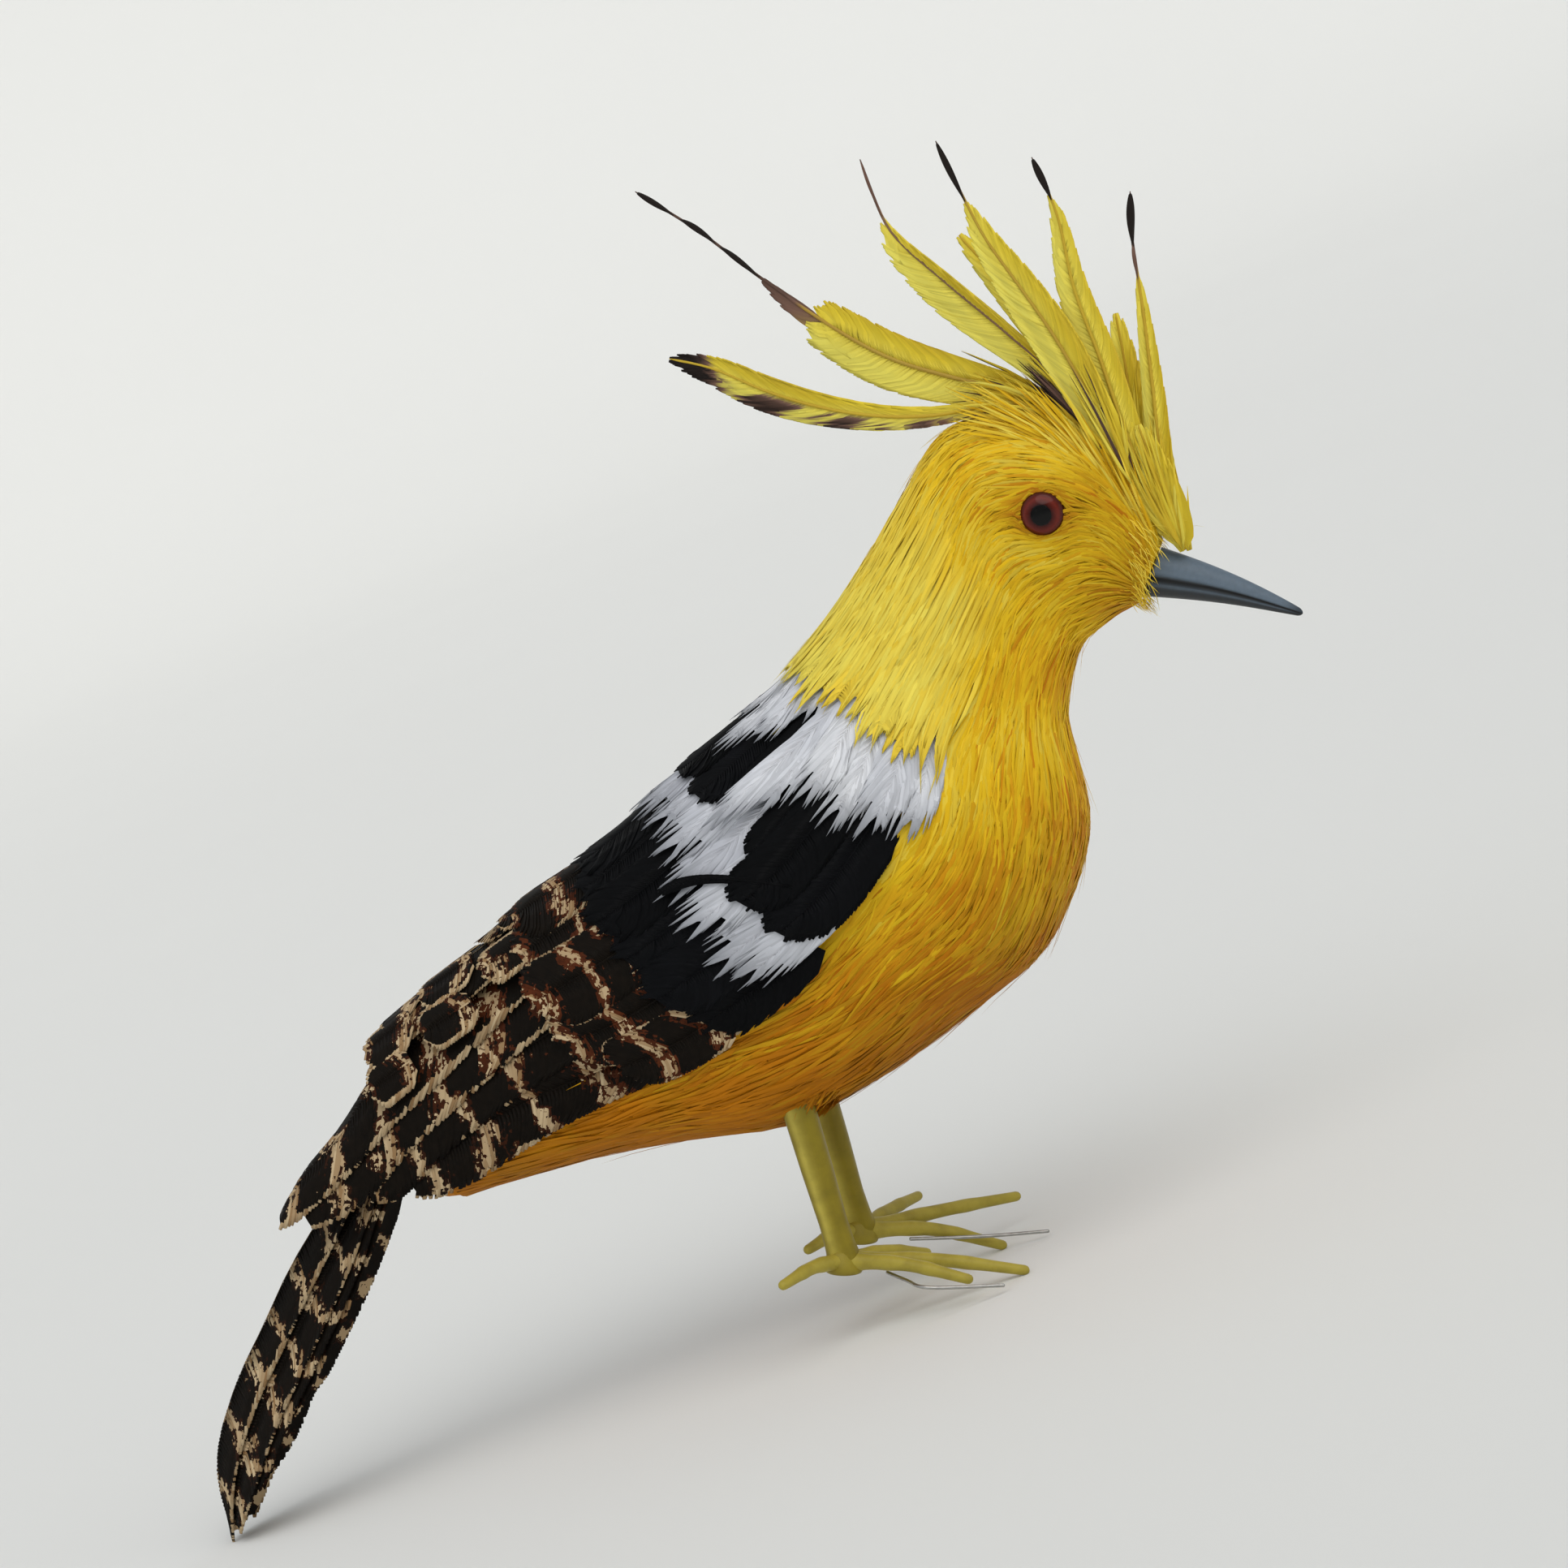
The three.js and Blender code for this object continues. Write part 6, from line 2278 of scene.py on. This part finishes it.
                # Paler toes: a painted highlight.
                mesh.add_tube(tube, toe.length * 9, tint=0.6)
            self.finish(mesh, f"leg_{name}_moulded", "leg_olive", f"leg_{name}")
            wire = PieceMesh(self.perch)
            line = [np.array(p) + ankle for p in points]
            wire.add_tube(round_tube(line, lambda t: self.wire_radius + 0 * t, 40, 14), 1.0)
            self.finish(wire, f"foot_wire_{name}_drawn", "wire_steel", f"foot_wire_{name}")


@dataclass
class Studio:
    """Floor that curves up into a pale wall all round, soft lamps, and the photographer's camera."""

    perch: PerchFrame
    target: tuple[float, float, float] = (-14.87851236, 0.0, 103.29631181)
    towards_camera: tuple[float, float, float] = (0.15356032, -0.96954172, 0.190809)
    camera_right: tuple[float, float, float] = (0.98768834, 0.15643447, 0.0)
    distance: float = 1100.0
    focal_pixels: float = 6380.5
    picture: float = 1932.0
    sky: float = 0.6
    lamp_distance: float = 1.9

    def turned(self, vector: Sequence[float]) -> Array:
        """A direction of the perch frame in the row frame."""
        return self.perch.turn @ unit(np.array(vector, float))

    def camera(self) -> None:
        """Sets the camera where the photograph was taken, rolled with the bird's pitch."""
        back, right = self.turned(self.towards_camera), self.turned(self.camera_right)
        up = np.cross(back, right)
        eye = self.perch.to_row(np.array(self.target) + self.distance * unit(np.array(self.towards_camera)))
        data = bpy.data.cameras.new("photographer")
        data.sensor_width = 36.0
        data.lens = data.sensor_width * self.focal_pixels / self.picture
        data.clip_start, data.clip_end = 0.05, 50.0
        camera = bpy.data.objects.new("photographer", data)
        bpy.context.scene.collection.objects.link(camera)
        turn = Matrix([[*map(float, row)] for row in np.stack([right, up, back], axis=1)])
        camera.matrix_world = Matrix.Translation(tuple(map(float, eye))) @ turn.to_4x4()
        bpy.context.scene.camera = camera

    def lamp(self, name: str, direction: Sequence[float], size: float, power: float, warmth: str) -> None:
        """Adds a broad, far light that faces the bird.

        Args:
            name: Its name.
            direction: From the bird to the lamp, in the perch frame.
            size: How wide the light looks from the bird, in radians.
            power: Watts per square metre.
            warmth: sRGB hex colour.
        """
        data = bpy.data.lights.new(name, "SUN")
        data.angle, data.energy = size, power
        data.color = linear_colour(warmth)[:3]
        lamp = bpy.data.objects.new(name, data)
        middle = self.perch.to_row(np.array(self.target))
        place = middle + self.turned(direction) * self.lamp_distance
        lamp.location = Vector(tuple(map(float, place)))
        lamp.rotation_mode = "QUATERNION"
        lamp.rotation_quaternion = Vector(tuple(map(float, place - middle))).to_track_quat("Z", "Y")
        bpy.context.scene.collection.objects.link(lamp)

    def floor(self) -> None:
        """Turns a profile round the upright: flat, then a quarter circle, then a low wall."""
        turn = np.radians(np.linspace(0, 90, 24))
        radius = np.concatenate([[0.0, 0.4, 1.0, 2.0], 3.2 + 1.6 * np.sin(turn), [4.8]])[:, None]
        height = np.concatenate([np.zeros(4), 1.6 * (1 - np.cos(turn)), [2.4]])[:, None]
        angle = round_angles(96)
        points = np.stack([radius * np.cos(angle), radius * np.sin(angle), height + 0 * angle], -1)
        index = np.arange(points.size // 3).reshape(points.shape[:2])
        after = np.roll(index, -1, axis=1)
        quads = np.stack([index[:-1], index[1:], after[1:], after[:-1]], -1).reshape(-1, 4)
        mesh = bpy.data.meshes.new("floor")
        mesh.from_pydata(points.reshape(-1, 3).tolist(), [], quads.tolist())
        mesh.polygons.foreach_set("use_smooth", np.ones(len(quads), bool))
        mesh.materials.append(PaintedFloor("matt_pale_paint", 0.85, specular=0.2).make())
        floor = bpy.data.objects.new("floor", mesh)
        bpy.context.scene.collection.objects.link(floor)

    def build(self) -> None:
        """Sets floor, lamps, sky light and camera."""
        self.floor()
        self.lamp("overcast_key", (0.1, -0.6, 1.0), 1.1, 1.35, "fffaf4")
        self.lamp("soft_fill", (-0.5, -1.0, 0.35), 1.4, 0.35, "f4f7ff")
        world = bpy.data.worlds.new("studio_light")
        world.use_nodes = True
        background = world.node_tree.nodes["Background"].inputs
        background["Color"].default_value = linear_colour("eef1f4")
        background["Strength"].default_value = self.sky
        bpy.context.scene.world = world
        bpy.context.scene.view_settings.view_transform = "Standard"
        self.camera()


def main() -> None:
    """Builds the bird from skin to crest, then the studio."""
    logging.basicConfig(level=logging.INFO, format="%(name)s %(message)s")
    perch = PerchFrame()
    shape = BodyShape()
    wardrobe = Wardrobe()
    log.info("pitch %.4f degrees", math.degrees(perch.pitch))
    for kind in (Plumage, Beak, Eyes, BackFeathers, WingFeathers, TailFeathers, Crest, Legs):
        kind(perch, shape, wardrobe).build()
    Studio(perch).build()


if __name__ == "__main__":
    main()
